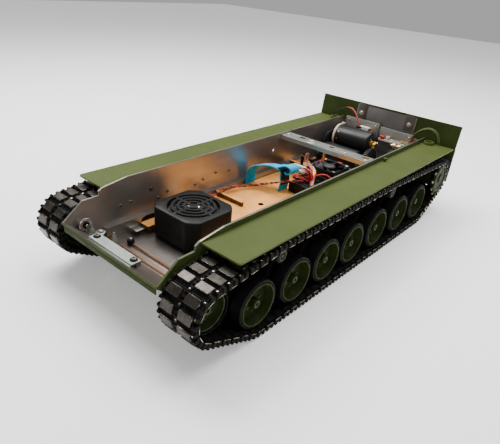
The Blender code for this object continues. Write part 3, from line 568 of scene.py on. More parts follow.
# Bright steel dashes on the track connectors: painted highlights where their edges catch the light.
GLINT = simple("glint_steel_painted_highlight", (0.26, 0.21, 0.17), 0.3, 1.0, vary=0.8, blotch=170.0, relief=0.2)
SCREW = simple("dull_screw", (0.16, 0.15, 0.14), 0.36, 0.9, vary=0.2, blotch=500.0)
STEEL = simple("plain_steel", (0.5, 0.48, 0.46), 0.32, 1.0, vary=0.15, blotch=300.0)
ZINC = simple("zinc_plate", (0.42, 0.42, 0.37), 0.34, 0.9, vary=0.1, blotch=40.0, stretch=(0.35, 1, 1),
              relief=0.06, rough_span=0.06)
PLAIN_ZINC = simple("bracket_zinc", (0.27, 0.3, 0.27), 0.36, 0.85, vary=0.07, blotch=60.0, relief=0.05,
                    rough_span=0.04)
BARE = simple("bare_sheet", (0.19, 0.18, 0.17), 0.34, 0.9, vary=0.12, blotch=30.0, stretch=(1, 1, 0.5),
              relief=0.05, rough_span=0.06)
TAB = simple("tab_steel", (0.12, 0.105, 0.085), 0.36, 0.9, vary=0.15, blotch=120.0, relief=0.08,
             rough_span=0.06)
COPPER = simple("copper_bar", (0.55, 0.28, 0.15), 0.3, 1.0, vary=0.12, blotch=160.0, stretch=(0.2, 1, 1))
BRASS = simple("brass", (0.74, 0.5, 0.17), 0.28, 1.0, vary=0.12, blotch=300.0)
GOLD = simple("gilt_bush", (0.85, 0.56, 0.15), 0.25, 1.0, vary=0.1, blotch=400.0)
MOTOR = simple("motor_black", (0.008, 0.0075, 0.0078), 0.34, vary=0.1, blotch=60.0, relief=0.02,
               rough_span=0.03, Specular_IOR_Level=0.25)
GEAR = simple("gear_black", (0.012, 0.012, 0.0125), 0.42, vary=0.2, blotch=200.0)
PLASTIC = simple("moulded_black", (0.0072, 0.0068, 0.0062), 0.44, vary=0.15, blotch=80.0, grain=3200.0,
                 relief=0.1, rough_span=0.05, Specular_IOR_Level=0.16)
FAN = simple("fan_black", (0.008, 0.008, 0.0085), 0.38, vary=0.15, blotch=120.0, relief=0.1, rough_span=0.05,
             Specular_IOR_Level=0.22)
FAN_HUB = simple("fan_label_grey", (0.055, 0.055, 0.06), 0.4, 0.2, vary=0.15, blotch=200.0)
RUBBER = simple("flap_rubber", (0.007, 0.007, 0.007), 0.6, vary=0.12, blotch=60.0, relief=0.2,
                Specular_IOR_Level=0.2)
NYLON = simple("nylon_white", (0.6, 0.57, 0.5), 0.45, vary=0.06, blotch=220.0)
TIE = simple("tie_beige", (0.5, 0.42, 0.31), 0.42, vary=0.08, blotch=220.0)
CONE = simple("speaker_cone", (0.008, 0.008, 0.009), 0.6, vary=0.2, blotch=260.0)
CHROME = simple("driver_ring", (0.7, 0.7, 0.72), 0.2, 1.0, vary=0.1, blotch=300.0)
CIRCUIT = simple("circuit_board", (0.28, 0.12, 0.045), 0.4, vary=0.3, blotch=500.0)
TOOTH = worn_by_radius(simple("tooth_ring_olive", (0.02, 0.028, 0.009), 0.5, vary=0.25, blotch=300.0,
                              Specular_IOR_Level=0.05), 21.6 * MM, 23.4 * MM, (0.34, 0.31, 0.24), 0.35)
SPROCKET_FINISHES = (WHEEL, WHEEL_RIM, TOOTH, STEEL, GEAR)
BOARD = board_finish()
STRAP = strap_finish()
HOOKS = simple("strap_hooks", (0.012, 0.012, 0.014), 0.85, vary=0.3, blotch=900.0, grain=3500.0, relief=0.8,
               deep=0.3 * MM)
WIRE_COLORS = {"red": (0.55, 0.025, 0.02), "black": (0.012, 0.012, 0.012), "yellow": (0.75, 0.42, 0.04),
               "orange": (0.7, 0.2, 0.02), "white": (0.75, 0.72, 0.68), "purple": (0.2, 0.07, 0.25),
               "green": (0.09, 0.12, 0.035)}
WIRES = {name: simple("wire_" + name, color, 0.36, vary=0.08, blotch=400.0, grain=2500.0, relief=0.1)
         for name, color in WIRE_COLORS.items()}
WIRES["sleeve"] = lamp_sleeve_finish("far", 51.0, WIRE_COLORS["black"])
WIRES["near_sleeve"] = lamp_sleeve_finish("near", 57.0, WIRE_COLORS["green"])
FLOOR = simple("floor_paper", (0.96, 0.96, 0.96), 0.9, vary=0.01, blotch=6.0, grain=600.0, relief=0.05,
               Emission_Color=(1.0, 1.0, 1.0, 1.0), Emission_Strength=0.28)


# ---------------------------------------------------------------- running gear

WHEEL_STATIONS = {"left": (-154.0, 155.0), "right": (-163.7, 145.3)}
SPROCKET, IDLER, ROLLERS = (205.0, 50.0, 22.2), (-206.0, 47.8, 22.0), ((-133.0, 69.3, 9.6), (63.0, 69.3, 9.6))
WHEEL_Z, WHEEL_REACH = 29.4, 25.8
LINKS = 84


def belt_path(side):
    """Points along a side's pitch line from the sprocket's rear, with the distance run to each of them."""
    first, last = WHEEL_STATIONS[side]
    wheels = [(y, WHEEL_Z, WHEEL_REACH) for y in (first, last)]
    rings = [SPROCKET, ROLLERS[1], ROLLERS[0], IDLER, *wheels]
    turns = []
    for (y0, z0, r0), (y1, z1, r1) in zip(rings, rings[1:] + rings[:1]):
        away = math.atan2(z1 - z0, y1 - y0)
        turns.append(away - math.acos((r0 - r1) / math.hypot(y1 - y0, z1 - z0)))
    path = []
    for i, (y, z, r) in enumerate(rings):
        start, end = turns[i - 1], turns[i]
        while end < start:
            end += math.tau
        steps = max(2, int((end - start) / math.radians(2)))
        path += [Vector((0, y + r * math.cos(start + (end - start) * k / steps),
                         z + r * math.sin(start + (end - start) * k / steps))) for k in range(steps + 1)]
    rear = max(range(len(path)), key=lambda i: path[i].y)
    path = path[rear:] + path[:rear + 1]
    path = [p * MM for p in path]
    lengths = [0.0]
    for a, b in zip(path, path[1:]):
        lengths.append(lengths[-1] + (b - a).length)
    return path, lengths


def along(path, lengths, distance):
    """The point a distance along a closed path."""
    distance %= lengths[-1]
    low = max(i for i, l in enumerate(lengths[:-1]) if l <= distance)
    a, b = path[low], path[low + 1]
    return a.lerp(b, (distance - lengths[low]) / (lengths[low + 1] - lengths[low]))


TRACK_FINISHES = (TRACK, PAD, CONNECTOR, PAD_EDGE, GLINT)
PIN_APART, PIN_Y, PIN_Z, HALF_SHOE = 3.0, 4.6, -0.6, 4.5
SHOES, SHOE_WIDE, PADS = (70.2, 88.4), 15.4, ((70.7, 83.4), (89.2, 102.6))


def track_link():
    """One shoe with its two rimmed pads, the rims brighter as edge wear and a painted highlight; y runs on, z
    outward from the pitch line.
    """
    made = Build(*TRACK_FINISHES)
    for x in SHOES:
        made.box((x, -HALF_SHOE, -2.7), (x + SHOE_WIDE, HALF_SHOE, 1.6), TRACK, 0.9)
    for x0, x1 in PADS:
        # The pad's brighter rim: edge wear and a painted highlight.
        made.box((x0, -3.75, 0.9), (x1, 3.75, 3.35), PAD_EDGE, 0.3)
        made.box((x0 + 0.3, -3.45, 2.6), (x1 - 0.3, 3.45, 3.58), PAD, 0.12, None, 1)
        made.box((x0 + 1.2, -3.2, -3.0), (x1 - 1.2, 3.2, -2.3), TRACK, 0.3)
    made.box((83.6, -1.3, 0.6), (89.0, 1.3, 1.9), CONNECTOR, 0.3)
    for y in (-PIN_Y, PIN_Y):
        made.disc(67.6, 106.6, 1.35, TRACK, 10, shift(0, y, PIN_Z))
    return made.mesh("track_link")


def track_joint():
    """The end connectors, centre connector and guide horn between two shoes, with painted highlight dashes on
    the connectors.
    """
    made = Build(*TRACK_FINISHES)
    for x0, x1, sign in ((67.3, 69.9, -1), (103.7, 106.9, 1)):
        edge = x1 if sign > 0 else x0
        for y in (-PIN_APART, PIN_APART):
            lobe = eased([(y - 1.7, -2.3), (y + 1.7, -2.3), (y + 1.4, 3.0), (y - 1.4, 3.0)], 0.8, True, 2)
            made.prism(lobe, x0, x1, CONNECTOR)
            made.bolt((edge - 0.35 * sign, y, 0.1), (sign, 0, 0), 0.9, 0.4, CONNECTOR, 8)
        made.box((x0 + 0.7, -PIN_APART, -1.5), (x1 - 0.9, PIN_APART, 1.9), CONNECTOR, 0.3)
        made.box((x0 + 0.9, -1.2, 2.2), (x1 - 1.1, 1.2, 2.7), CONNECTOR, 0.2)
    # Painted highlights: bright dashes along the outer connectors' lower edge and on their top.
    made.box((105.9, -PIN_APART - 0.8, -2.75), (106.85, PIN_APART + 0.8, -2.15), GLINT, 0.15)
    made.box((104.7, PIN_APART - 0.7, 2.6), (106.1, PIN_APART + 0.7, 3.1), GLINT, 0.2)
    made.box((85.0, -3.4, -2.6), (88.6, 3.4, 1.9), TRACK, 0.7)
    # Painted highlight dash on the centre connector.
    made.box((85.8, -0.9, 1.6), (87.8, 0.9, 2.3), GLINT, 0.3)
    made.prism([(-3.1, -2.0), (3.1, -2.0), (1.3, -6.8), (-1.3, -6.8)], 85.4, 88.2, TRACK)
    return made.mesh("track_joint")


def tracks():
    """Both belts, a shoe and a joint in turn at every half pitch."""
    shoe, joint = track_link(), track_joint()
    for side, sign in SIDES:
        path, lengths = belt_path(side)
        pitch = lengths[-1] / LINKS
        made = Build(*TRACK_FINISHES)
        for k in range(LINKS * 2):
            middle = k * pitch / 2
            reach = pitch * 0.4
            behind, at, ahead = (along(path, lengths, middle + step) for step in (-reach, 0.0, reach))
            run = (ahead - behind).normalized()
            out = Vector((0, run.z, -run.y))
            turn = Matrix((Vector((1, 0, 0)), run, out)).transposed().to_4x4()
            place = Matrix.Diagonal((sign, 1, 1, 1)) @ Matrix.Translation(at) @ turn
            copy_in(made, joint if k % 2 else shoe, place)
        made.done("track_chain_" + side, ["track_" + side])


def copy_in(made, mesh, place):
    """Adds a finished mesh, with its finishes, at a place; a mirrored place keeps its faces outward."""
    copy = mesh.copy()
    copy.transform(place)
    if place.determinant() < 0:
        copy.flip_normals()
    made.bm.from_mesh(copy)
    bpy.data.meshes.remove(copy)


def ring_of_bolts(made, x, ring, count, radius, height, finish, phase=0.0):
    for k in range(count):
        angle = phase + math.tau * k / count
        made.bolt((x, ring * math.cos(angle), ring * math.sin(angle)), (1, 0, 0), radius, height, finish, 6)


def rim_disc(made, face, rim, hub_face, deep=8.4, segments=56):
    """A dished, painted disc, its olive darkened as painted shade: a shoulder, a lip that carries less
    painted shade, and a flat floor with its hub and bolts.
    """
    back = face - 12.4
    made.turned([(back, 0), (back, 8.5), (back + 1.2, 9.5), (back + 1.2, rim - 1.2), (back, rim - 0.9),
                 (back, rim + 0.9), (face - 2.2, rim + 0.9), (face - 0.5, rim - 0.3),
                 (face - 0.1, rim - 0.8), (face - 0.6, rim - 1.6), (face - 4.8, rim - 2.9),
                 (face - deep, rim - 4.2), (face - deep - 0.4, rim - 5.6), (face - deep - 0.3, 10.2),
                 (face - deep + 0.9, 9.4), (face - deep + 0.9, 0)], WHEEL, segments)
    made.ring([(face - 0.5, rim - 0.35), (face, rim - 0.6), (face, rim - 1.1), (face - 0.6, rim - 1.5)],
              WHEEL_RIM, segments)
    base = face - deep + 0.9
    made.turned([(base - 0.2, 0), (base - 0.2, 5.0), (base + 0.6, 4.9), (hub_face - 1.6, 4.2),
                 (hub_face - 0.4, 3.8), (hub_face, 3.1), (hub_face, 1.5), (hub_face - 0.7, 1.2),
                 (hub_face - 0.7, 0)], WHEEL, 28)
    made.ring([(hub_face - 0.5, 3.7), (hub_face + 0.05, 3.3), (hub_face + 0.05, 1.9), (hub_face - 0.4, 1.6)],
              WHEEL_RIM, 28)
    ring_of_bolts(made, base, 7.6, 6, 1.0, 1.5, WHEEL_RIM, 0.3)


def tyre(made, x0, x1, inner, outer, segments=56):
    made.ring([(x0 + 0.3, inner), (x0, inner + 0.5), (x0 + 0.2, outer - 0.8), (x0 + 0.9, outer),
               (x1 - 0.9, outer), (x1 - 0.2, outer - 0.8), (x1, inner + 0.5), (x1 - 0.3, inner)],
              TYRE, segments)


def inner_disc(made, back, face, rim, segments=48):
    """The hidden wheel of a pair, dished towards the hull."""
    made.turned([(face, 0), (face, 9), (face - 1, rim - 1.6), (face, rim - 1), (face, rim), (back, rim),
                 (back, rim - 1), (back + 5, rim - 3.5), (back + 6, 9.5), (back + 1, 7.5), (back + 1, 0)],
                WHEEL, segments)


INNER_WHEEL, OUTER_TYRE, HUB = (72.2, 83.8), (89.5, 101.3), (80, 92)
WHEEL_RADIUS, IDLER_RADIUS, ROLLER_RADIUS = 22.45, 18.65, 6.45
SPROCKET_TEETH, TOOTH_ROOT, TOOTH_TIP, TOOTH_RINGS = 12, 18.2, 23.4, ((68.7, 70.9), (103.25, 105.5))


def road_wheel_mesh():
    made = Build(WHEEL, WHEEL_RIM, TYRE, STEEL)
    rim_disc(made, 101.95, 19.9, 99.8)
    tyre(made, *OUTER_TYRE, 20.6, WHEEL_RADIUS)
    inner_disc(made, *INNER_WHEEL, 19.7)
    tyre(made, *INNER_WHEEL, 19.5, WHEEL_RADIUS)
    made.disc(*HUB, 6.5, WHEEL, 20)
    return made.mesh("road_wheel")


def idler_mesh():
    made = Build(WHEEL, WHEEL_RIM, TYRE, STEEL)
    rim_disc(made, 96.6, 16.5, 94.8, 6.0)
    tyre(made, 85.5, 98.0, 17.2, IDLER_RADIUS)
    inner_disc(made, *INNER_WHEEL, 16.9)
    tyre(made, 72.2, 82.0, 16.8, IDLER_RADIUS)
    made.disc(*HUB, 7.5, WHEEL, 20)
    made.disc(65.1, 74, 3.6, STEEL, 18)
    return made.mesh("idler")


def roller_mesh():
    made = Build(WHEEL, WHEEL_RIM, TYRE, STEEL)
    for x0, x1 in ((69.4, 82.6), (90.4, 104.4)):
        tyre(made, x0, x1, 4.4, ROLLER_RADIUS, 28)
        made.disc(x0 + 0.2, x1 - 0.6, 4.5, WHEEL, 24)
        made.ring([(x1 - 1.2, 4.5), (x1 + 0.1, 4.4), (x1 + 0.1, 3.6), (x1 - 1.2, 3.4)], WHEEL_RIM, 28)
    made.disc(68.5, 103.6, 1.9, WHEEL, 14)
    made.bolt((103.6, 0, 0), (1, 0, 0), 1.9, 0.9, WHEEL_RIM, 6)
    return made.mesh("return_roller")


def tooth_ring_outline(teeth, root, tip):
    """A sprocket ring with round-bottomed gaps and blunt teeth."""
    points = []
    pitch = math.tau / teeth
    for i in range(teeth):
        for share, radius in ((-0.30, root), (-0.22, root + 0.9), (-0.13, tip - 1.2), (-0.075, tip - 0.25),
                              (0.0, tip), (0.075, tip - 0.25), (0.13, tip - 1.2), (0.22, root + 0.9),
                              (0.30, root), (0.5, root - 0.4)):
            angle = (i + share) * pitch
            points.append((radius * math.cos(angle), radius * math.sin(angle)))
    return points


def sprocket_mesh():
    made = Build(*SPROCKET_FINISHES)
    for x0, x1 in TOOTH_RINGS:
        made.prism(tooth_ring_outline(SPROCKET_TEETH, TOOTH_ROOT, TOOTH_TIP), x0, x1, TOOTH, 0.35)
    made.turned([(70.5, 0), (70.5, 16.2), (72.5, 16.8), (75.0, 12.6), (99.0, 12.6), (101.8, 16.8),
                 (103.6, 16.9), (105.9, 16.9), (106.3, 16.5), (106.3, 14.8), (105.2, 13.9), (102.2, 12.6),
                 (101.2, 10.6), (101.4, 7.4), (103.2, 6.6), (106.0, 6.0), (106.9, 5.0), (106.9, 0)],
                WHEEL, 48)
    made.ring([(105.7, 16.95), (106.4, 16.7), (106.4, 15.3), (105.7, 15.0)], WHEEL_RIM, 48)
    ring_of_bolts(made, 105.9, 15.9, 12, 0.7, 0.9, WHEEL_RIM, 0.26)
    ring_of_bolts(made, 101.4, 9.0, 6, 0.75, 1.2, WHEEL_RIM)
    made.bolt((106.4, 0, 0), (1, 0, 0), 1.8, 0.5, WHEEL_RIM, 6)
    return made.mesh("sprocket")


def running_gear():
    tracks()
    wheel, idler, roller, sprocket = road_wheel_mesh(), idler_mesh(), roller_mesh(), sprocket_mesh()
    for side, sign in SIDES:
        turn = spin(0 if sign > 0 else 180, "Z")
        spun = [(f"road_wheel_{side}_{i}", wheel) for i in range(1, 8)]
        spun += [(f"return_roller_{side}_{i}", roller) for i in (1, 2)]
        for name, mesh in spun + [("idler_" + side, idler)]:
            piece(name + "_dressed", mesh, name, [name], at_joint(name) @ turn)
        name = "sprocket_" + side
        drive = sprocket_with_gear(sprocket, side, sign)
        piece(name + "_dressed", drive, name, [name], at_joint(name))
        for i in range(1, 8):
            refinish(f"swing_arm_{side}_{i}", ARM, bevel=0.5)


# ---------------------------------------------------------------- drive

MODULE, AXLE_END = 0.8, 71.0
TEETH = {"pinion": 12, "counter": 44, "small": 16, "final": 40}
TOOTH_SHAPE = ((-0.34, -0.95), (-0.24, -0.15), (-0.11, 0.55), (0.11, 0.55), (0.24, -0.15), (0.34, -0.95))
GEARS = {"left": {"pinion": (9.4, 14.6), "counter": (9.2, 14.8), "small": (29.6, 36.4),
                  "final": (30.0, 36.0)},
         "right": {"pinion": (-57.0, -53.4), "counter": (-57.2, -53.2), "small": (-62.2, -58.0),
                   "final": (-62.2, -58.7)}}
END_SCREW_TURN = 34.38
MOTORS = {"left": (192.0, 71.0, -49.4, 7.6), "right": (164.0, 50.0, -51.6, 5.4)}


def tooth_outline(teeth, phase):
    """A spur gear's outline with straight-sided teeth, in millimetres."""
    radius = MODULE * teeth / 2
    points = []
    for i in range(teeth):
        for share, out in TOOTH_SHAPE:
            angle = phase + (i + share) * math.tau / teeth
            points.append(((radius + out) * math.cos(angle), (radius + out) * math.sin(angle)))
    return points


def gear_phases(side):
    """The tooth phases that bring a side's gears into mesh."""
    shaft = JOINT_AT["counter_gear_" + side + "_spin"]
    motor, drive = JOINT_AT["pinion_" + side + "_spin"], JOINT_AT["sprocket_" + side + "_spin"]
    to_motor = math.atan2(motor.z - shaft.z, motor.y - shaft.y)
    to_drive = math.atan2(drive.z - shaft.z, drive.y - shaft.y)
    return {"counter": to_motor, "pinion": to_motor + math.pi + math.pi / TEETH["pinion"],
            "small": to_drive, "final": to_drive + math.pi + math.pi / TEETH["final"]}


def gear(made, side, part, finish):
    made.prism(tooth_outline(TEETH[part], gear_phases(side)[part]), *GEARS[side][part], finish, 0.12)


def sprocket_with_gear(sprocket, side, sign):
    """The dressed sprocket with its axle and final gear, about the joint's axis."""
    made = Build(*SPROCKET_FINISHES)
    copy_in(made, sprocket, spin(0 if sign > 0 else 180, "Z"))
    gear(made, side, "final", GEAR)
    limits = GEARS[side]["final"]
    made.disc(min(limits) + 0.2, max(limits) + 0.3, 6.0, GEAR, 24)
    made.disc(*sorted((min(limits, key=abs), sign * AXLE_END)), 3.9, STEEL, 20)
    return made.mesh("sprocket_" + side)


def gear_piece(name, side, parts, finish, shaft):
    """A gear or a pair of gears on their shaft, placed at its joint."""
    node = f"{name}_{side}"
    made = Build(finish, STEEL)
    for part in parts:
        gear(made, side, part, finish)
    low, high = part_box(node)
    made.disc(low.x / MM, high.x / MM, shaft, STEEL, 16)
    if name == "counter_gear":
        x0, x1 = sorted(GEARS[side]["counter"])
        made.ring([(x0, 11.0), (x0, 14.0), (x1 + 0.25, 14.0), (x1 + 0.25, 11.0)], finish, 32)
    piece(node + "_dressed", made.mesh(node + "_teeth"), node, [node], at_joint(node))


def gear_trains():
    for side, _ in SIDES:
        gear_piece("pinion", side, ("pinion",), BRASS, 1.9)
        gear_piece("counter_gear", side, ("counter", "small"), GEAR, 2.9)


def motor_can(made, x0, x1, at):
    """The rolled can with its slotted cap, gilt bush, terminals and two end screws."""
    cap, can = x0 + 5.0, x1 - 0.4
    made.turned([(cap, 0), (cap, 12), (cap, 15.2), (x0 + 5.8, 16), (x1 - 3.2, 16), (x1 - 1.6, 15.4),
                 (x1 - 0.6, 13.4), (can, 12.4), (can, 0)], MOTOR, 72, at, ease=0.4)
    made.turned([(x0, 0), (x0, 4.2), (x0 + 1.0, 5.0), (x0 + 1.2, 12.6), (x0 + 2.4, 14.6), (x0 + 5.4, 15.4),
                 (x0 + 6.0, 14.0), (x0 + 6.0, 0)], PLASTIC, 48, at)
    made.turned([(x1 - 0.8, 0), (x1 - 0.8, 5.2), (x1 + 0.5, 5.0), (x1 + 0.9, 4.3), (x1 + 0.9, 0)],
                GOLD, 28, at)
    for k in range(2):
        made.box((x0 + 0.4, -1.2, 8.5), (x0 + 2.6, 1.2, 13.0), STEEL, 0.2, at @ spin(35 + 110 * k))
    for k in range(6):
        made.box((x1 - 3.4, -1.8, 12.9), (x1 - 0.25, 1.8, 14.0), PLASTIC, 0.3, at @ spin(60 * k))
    for k in range(2):
        made.bolt((can, 0, 9.0), (1, 0, 0), 1.5, 1.2, STEEL, place=at @ spin(180 * k + END_SCREW_TURN))


def left_motor_fittings(made, x0, y, z, at):
    """The left motor's foot, the beige tie round its cap, a block beside it and two copper terminals."""
    made.box((-38, y - 9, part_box("motor_left")[0].z / MM), (-8, y + 9, z - 13.0), MOTOR, 0.8)
    made.ring([(x0 + 2.6, 15.2), (x0 + 2.5, 16.3), (x0 + 2.8, 16.7), (x0 + 5.3, 16.7), (x0 + 5.6, 16.3),
               (x0 + 5.5, 15.2)], TIE, 56, at)
    made.box((x0 + 2.0, 2.6, 15.6), (x0 + 6.2, 7.4, 18.4), TIE, 0.6, at @ spin(-8))
    made.box((-27.6, y + 12.6, z + 13.0), (-20.6, y + 17.2, z + 15.6), PLASTIC, 0.6)
    for angle in (58, 92):
        made.disc(15.5, 16.5, 1.2, COPPER, 12, at @ spin(angle) @ shift(-39.5, 0, 0), "Z")


def motor(side):
    y, z, x0, x1 = MOTORS[side]
    at = shift(0, y, z)
    made = Build(MOTOR, PLASTIC, GOLD, STEEL, TIE, COPPER)
    motor_can(made, x0, x1, at)
    if side == "left":
        left_motor_fittings(made, x0, y, z, at)
    made.done("motor_" + side + "_dressed", ["motor_" + side])


# ---------------------------------------------------------------- hull and fittings

WALL_X, RAIL_X, BAR_X = 62.6, 58.0, 40.0
BOARD_ENDS, CLAMP_ENDS = (-151.0, 136.0), (-182.0, 150.0)
WALL_SCREWS = ((-169.9, 62.5), (-157.9, 63.3), (-123.9, 58.0), (-112.4, 61.7), (-73.9, 58.4), (-61.9, 61.7),
               (-41.9, 65.0), (-20.0, 62.0))
RAIL_GUARD = ((-149.4, 40.6), (-148.0, 43.6), (-143.5, 45.2), (-130.0, 45.2), (-130.0, 40.6))


def wall_fittings(made, side):
    """Screws, the idler boss's washer and nut, an angle plate and a dark guard on one wall."""
    inward = (-side, 0, 0)
    for y, z in WALL_SCREWS:
        made.bolt((side * WALL_X, y, z), inward, 1.5, 1.1, SCREW)
    boss = shift(side * RAIL_X, -209.9, 57.8) @ spin(0 if side < 0 else 180, "Z")
    made.ring([(-0.1, 3.4), (-0.1, 6.4), (0.6, 6.5), (1.0, 6.0), (1.0, 3.6)], STEEL, 40, boss)
    made.bolt((0.1, 0, 0), inward, 3.3, 2.0, TRACK, 6, boss)
    made.bolt((2.0, 0, 0), inward, 1.3, 1.2, STEEL, 12, boss)
    made.box((side * (RAIL_X - 0.1), -162.6, 32.3), (side * (RAIL_X - 1.1), -152.6, 37.4), ZINC, 0.3)
    made.box((side * (RAIL_X - 0.1), -162.6, 36.6), (side * 48.6, -152.6, 37.5), ZINC, 0.3)
    made.prism(RAIL_GUARD, side * (RAIL_X - 0.3), side * (RAIL_X + 0.3), TRACK, 0.1)


def bar_clamps(made, name, side):
    """Clamps over the free ends of the torsion bars that the board leaves in sight."""
    x = -side * BAR_X
    for i in range(1, 8):
        y = JOINT_AT[f"swing_arm_{name}_{i}_bump"].y / MM
        if CLAMP_ENDS[0] < y <= BOARD_ENDS[0] or BOARD_ENDS[1] <= y < CLAMP_ENDS[1]:
            top = 36.4 if y > 0 else 38.0
            made.box((x - 2.2, y - 3.0, 32.0), (x + 2.2, y + 3.0, top), PLASTIC, 0.6)
            made.bolt((x, y, top - 0.1), (0, 0, 1), 1.5, 1.2, STEEL)


def hull_fittings():
    made = Build(STEEL, PLASTIC, ZINC, TRACK, SCREW)
    for _, side in SIDES:
        wall_fittings(made, side)
    for name, side in SIDES:
        bar_clamps(made, name, side)
    made.done("hull_fittings", ())


def bent_lug(made, x, y, z, wide, tall, turn):
    """A small steel lug bent up from its foot."""
    place = shift(x, y, z) @ spin(turn, "Z")
    rise = smooth_route([mm(0, -3.2, 0), mm(0, 0.6, 0.2), mm(0, 2.6, 1.6), mm(0, 3.0, tall)], 4)
    widths = [wide * math.sin(math.pi * (0.2 + 0.74 * k / (len(rise) - 1))) for k in range(len(rise))]
    made.strip([place @ p for p in rise], [place.to_3x3() @ mm(w, 0, 0) for w in widths], 1.0, PLAIN_ZINC)


def front_fittings():
    """The nose's turned-down lip, a black bar in the bracket's slot as painted shade, the bracket's screws,
    and the bent lugs behind it.
    """
    made = Build(PLAIN_ZINC, STEEL, TRACK, SCREW, PLATE)
    # The nose lip in the rear plate's olive, darkened as painted shade.
    made.box((-59.0, -229.7, 57.3), (64.8, -228.8, 62.3), PLATE, 0.35)
    # A black bar standing in the slot between the lip and the bracket: painted shade.
    made.box((-29.5, -226.6, 58.6), (16.5, -225.2, 60.6), TRACK, 0.3)
    made.box((-31.5, -223.9, 57.0), (26.0, -222.6, 60.4), PLAIN_ZINC, 0.2)
    for x, y in ((-28.0, -217.3), (21.6, -216.6)):
        washer = [(0, 1.6), (0, 3.2), (0.5, 3.2), (0.7, 2.9), (0.7, 1.6)]
        made.ring(washer, TRACK, 24, shift(x, y, 61.5), "Z")
        made.bolt((x, y, 62.0), (0, 0, 1), 2.3, 1.5, SCREW)
    bent_lug(made, -54.0, -206.5, 47.0, 8.0, 8.0, 45)
    bent_lug(made, -33.5, -197.5, 40.6, 9.0, 13.5, 48)
    stud = shift(-46.5, -202.5, 0)
    made.disc(42.0, 54.6, 1.7, STEEL, 16, stud, "Z")
    made.disc(51.6, 52.8, 4.6, PLAIN_ZINC, 28, stud, "Z")
    made.bolt((-46.5, -202.5, 52.8), (0, 0, 1), 2.9, 1.5, SCREW, 6)
    made.done("front_bracket_fittings", ())


REAR_FACE_Y, REAR_FACE_Z, REAR_LEAN = 230.3, 67.0, 6.2 / 46.0


def leaning(z0, z1, front, behind):
    """A thin side view lying along the rear plate's leaning inner face."""
    low, high = (REAR_FACE_Y + REAR_LEAN * (z - REAR_FACE_Z) for z in (z0, z1))
    return [(low - front, z0), (high - front, z1), (high - behind, z1), (low - behind, z0)]


def rear_fittings():
    """Bare inner plate with its two tabs, the bulkhead plates, and the light strip between them."""
    made = Build(BARE, STEEL, ZINC, NYLON, TAB, WIRES["red"], BRASS, COPPER)
    made.prism(leaning(86.5, 110.6, 0.75, 0.05), -45.7, 46.0, BARE, 0.1)
    for x in (-37.0, 37.0):
        made.prism(leaning(90.6, 112.0, 1.75, 0.9), x - 7.0, x + 7.0, TAB, 0.2)
        made.bolt((x, 232.4, 99.7), (0, -1, 0.13), 3.3, 0.7, STEEL, 24)
        made.bolt((x, 231.8, 99.8), (0, -1, 0.13), 2.1, 1.9, STEEL)
    made.box((-57.0, 226.4, 40), (-2.4, 227.9, 92.0), ZINC, 0.3)
    made.box((0.4, 224.6, 40), (49.5, 226.1, 89.3), ZINC, 0.3)
    for x in (-52.0, -8.0):
        made.bolt((x, 226.4, 87.0), (0, -1, 0), 1.6, 1.1, STEEL)
    made.bolt((45.5, 224.6, 84.5), (0, -1, 0), 1.6, 1.1, STEEL)
    made.box((2.2, 220.6, 71.4), (41.4, 222.6, 74.2), NYLON, 0.3)
    made.box((4.0, 219.8, 74.3), (11.2, 222.4, 78.6), WIRES["red"], 1.0)
    made.box((13.0, 220.8, 74.3), (18.5, 222.4, 79.6), NYLON, 0.8)
    made.box((19.5, 221.2, 74.3), (36.0, 222.3, 76.4), NYLON, 0.4)
    made.box((-26.4, 212.5, 76.0), (-8.6, 218.5, 86.0), NYLON, 1.0)
    made.box((-11.6, 211.6, 82.0), (-8.2, 217.0, 86.6), COPPER, 0.8)
    for x in (31.0, 38.5):
        made.disc(x, x + 4.0, 3.6, BRASS, 18, shift(0, 209.0, 72.8))
    made.disc(28.0, 44.0, 1.5, STEEL, 14, shift(0, 209.0, 72.8))
    made.done("rear_fittings", ())


def fender_fittings():
    """A ring and a small post on each fender."""
    made = Build(FENDER, STEEL, PLASTIC, ZINC)
    for _, side in SIDES:
        at = shift(side * 74.0, 222.0, 84.4)
        made.ring([(0, 3.9), (0, 6.4), (0.4, 6.7), (3.0, 6.7), (3.6, 6.3), (3.6, 5.0), (3.0, 4.6),
                   (1.2, 4.3), (1.2, 3.9)], FENDER, 36, at, "Z")
        made.disc(0.1, 1.6, 4.2, PLASTIC, 24, at, "Z")
        post = shift(side * 68.4, 106.6, 84.2)
        made.disc(0, 3.6, 1.3, FENDER, 14, post, "Z")
        made.disc(2.2, 4.4, 2.3, FENDER, 6, post, "Z")
    made.done("fender_fittings", ())


def crossbar_fittings():
    """Three screws, a pressed ring and the hanging spacer's copper sleeve."""
    made = Build(ZINC, STEEL, COPPER, PLASTIC)
    made.ring([(0, 3.4), (0.35, 3.8), (0.5, 4.6), (0.35, 5.4), (0, 5.8)], ZINC, 32,
              shift(-22.0, 84.0, 87.95), "Z")
    for x, y in ((28.5, 82.0), (-57.0, 84.0), (57.5, 80.0)):
        made.bolt((x, y, 87.9), (0, 0, 1), 2.2, 1.5, STEEL)
    made.disc(0, 17.0, 2.1, COPPER, 20, shift(2.0, 79.0, 69.4), "Z")
    made.done("crossbar_fittings", ())


# ---------------------------------------------------------------- electronics

SPEAKER_X, SPEAKER_Y, SPEAKER_HOLE = -13.9 * MM, -120.6 * MM, 25.4 * MM
CORNER_CUT, CORNER_EASE, RIM_EASE, HOLE_EASE = 9.0 * MM, 3.2 * MM, 1.3 * MM, 0.3 * MM
WALL_THICK, WELL_DEEP = 2.2 * MM, 6.0 * MM


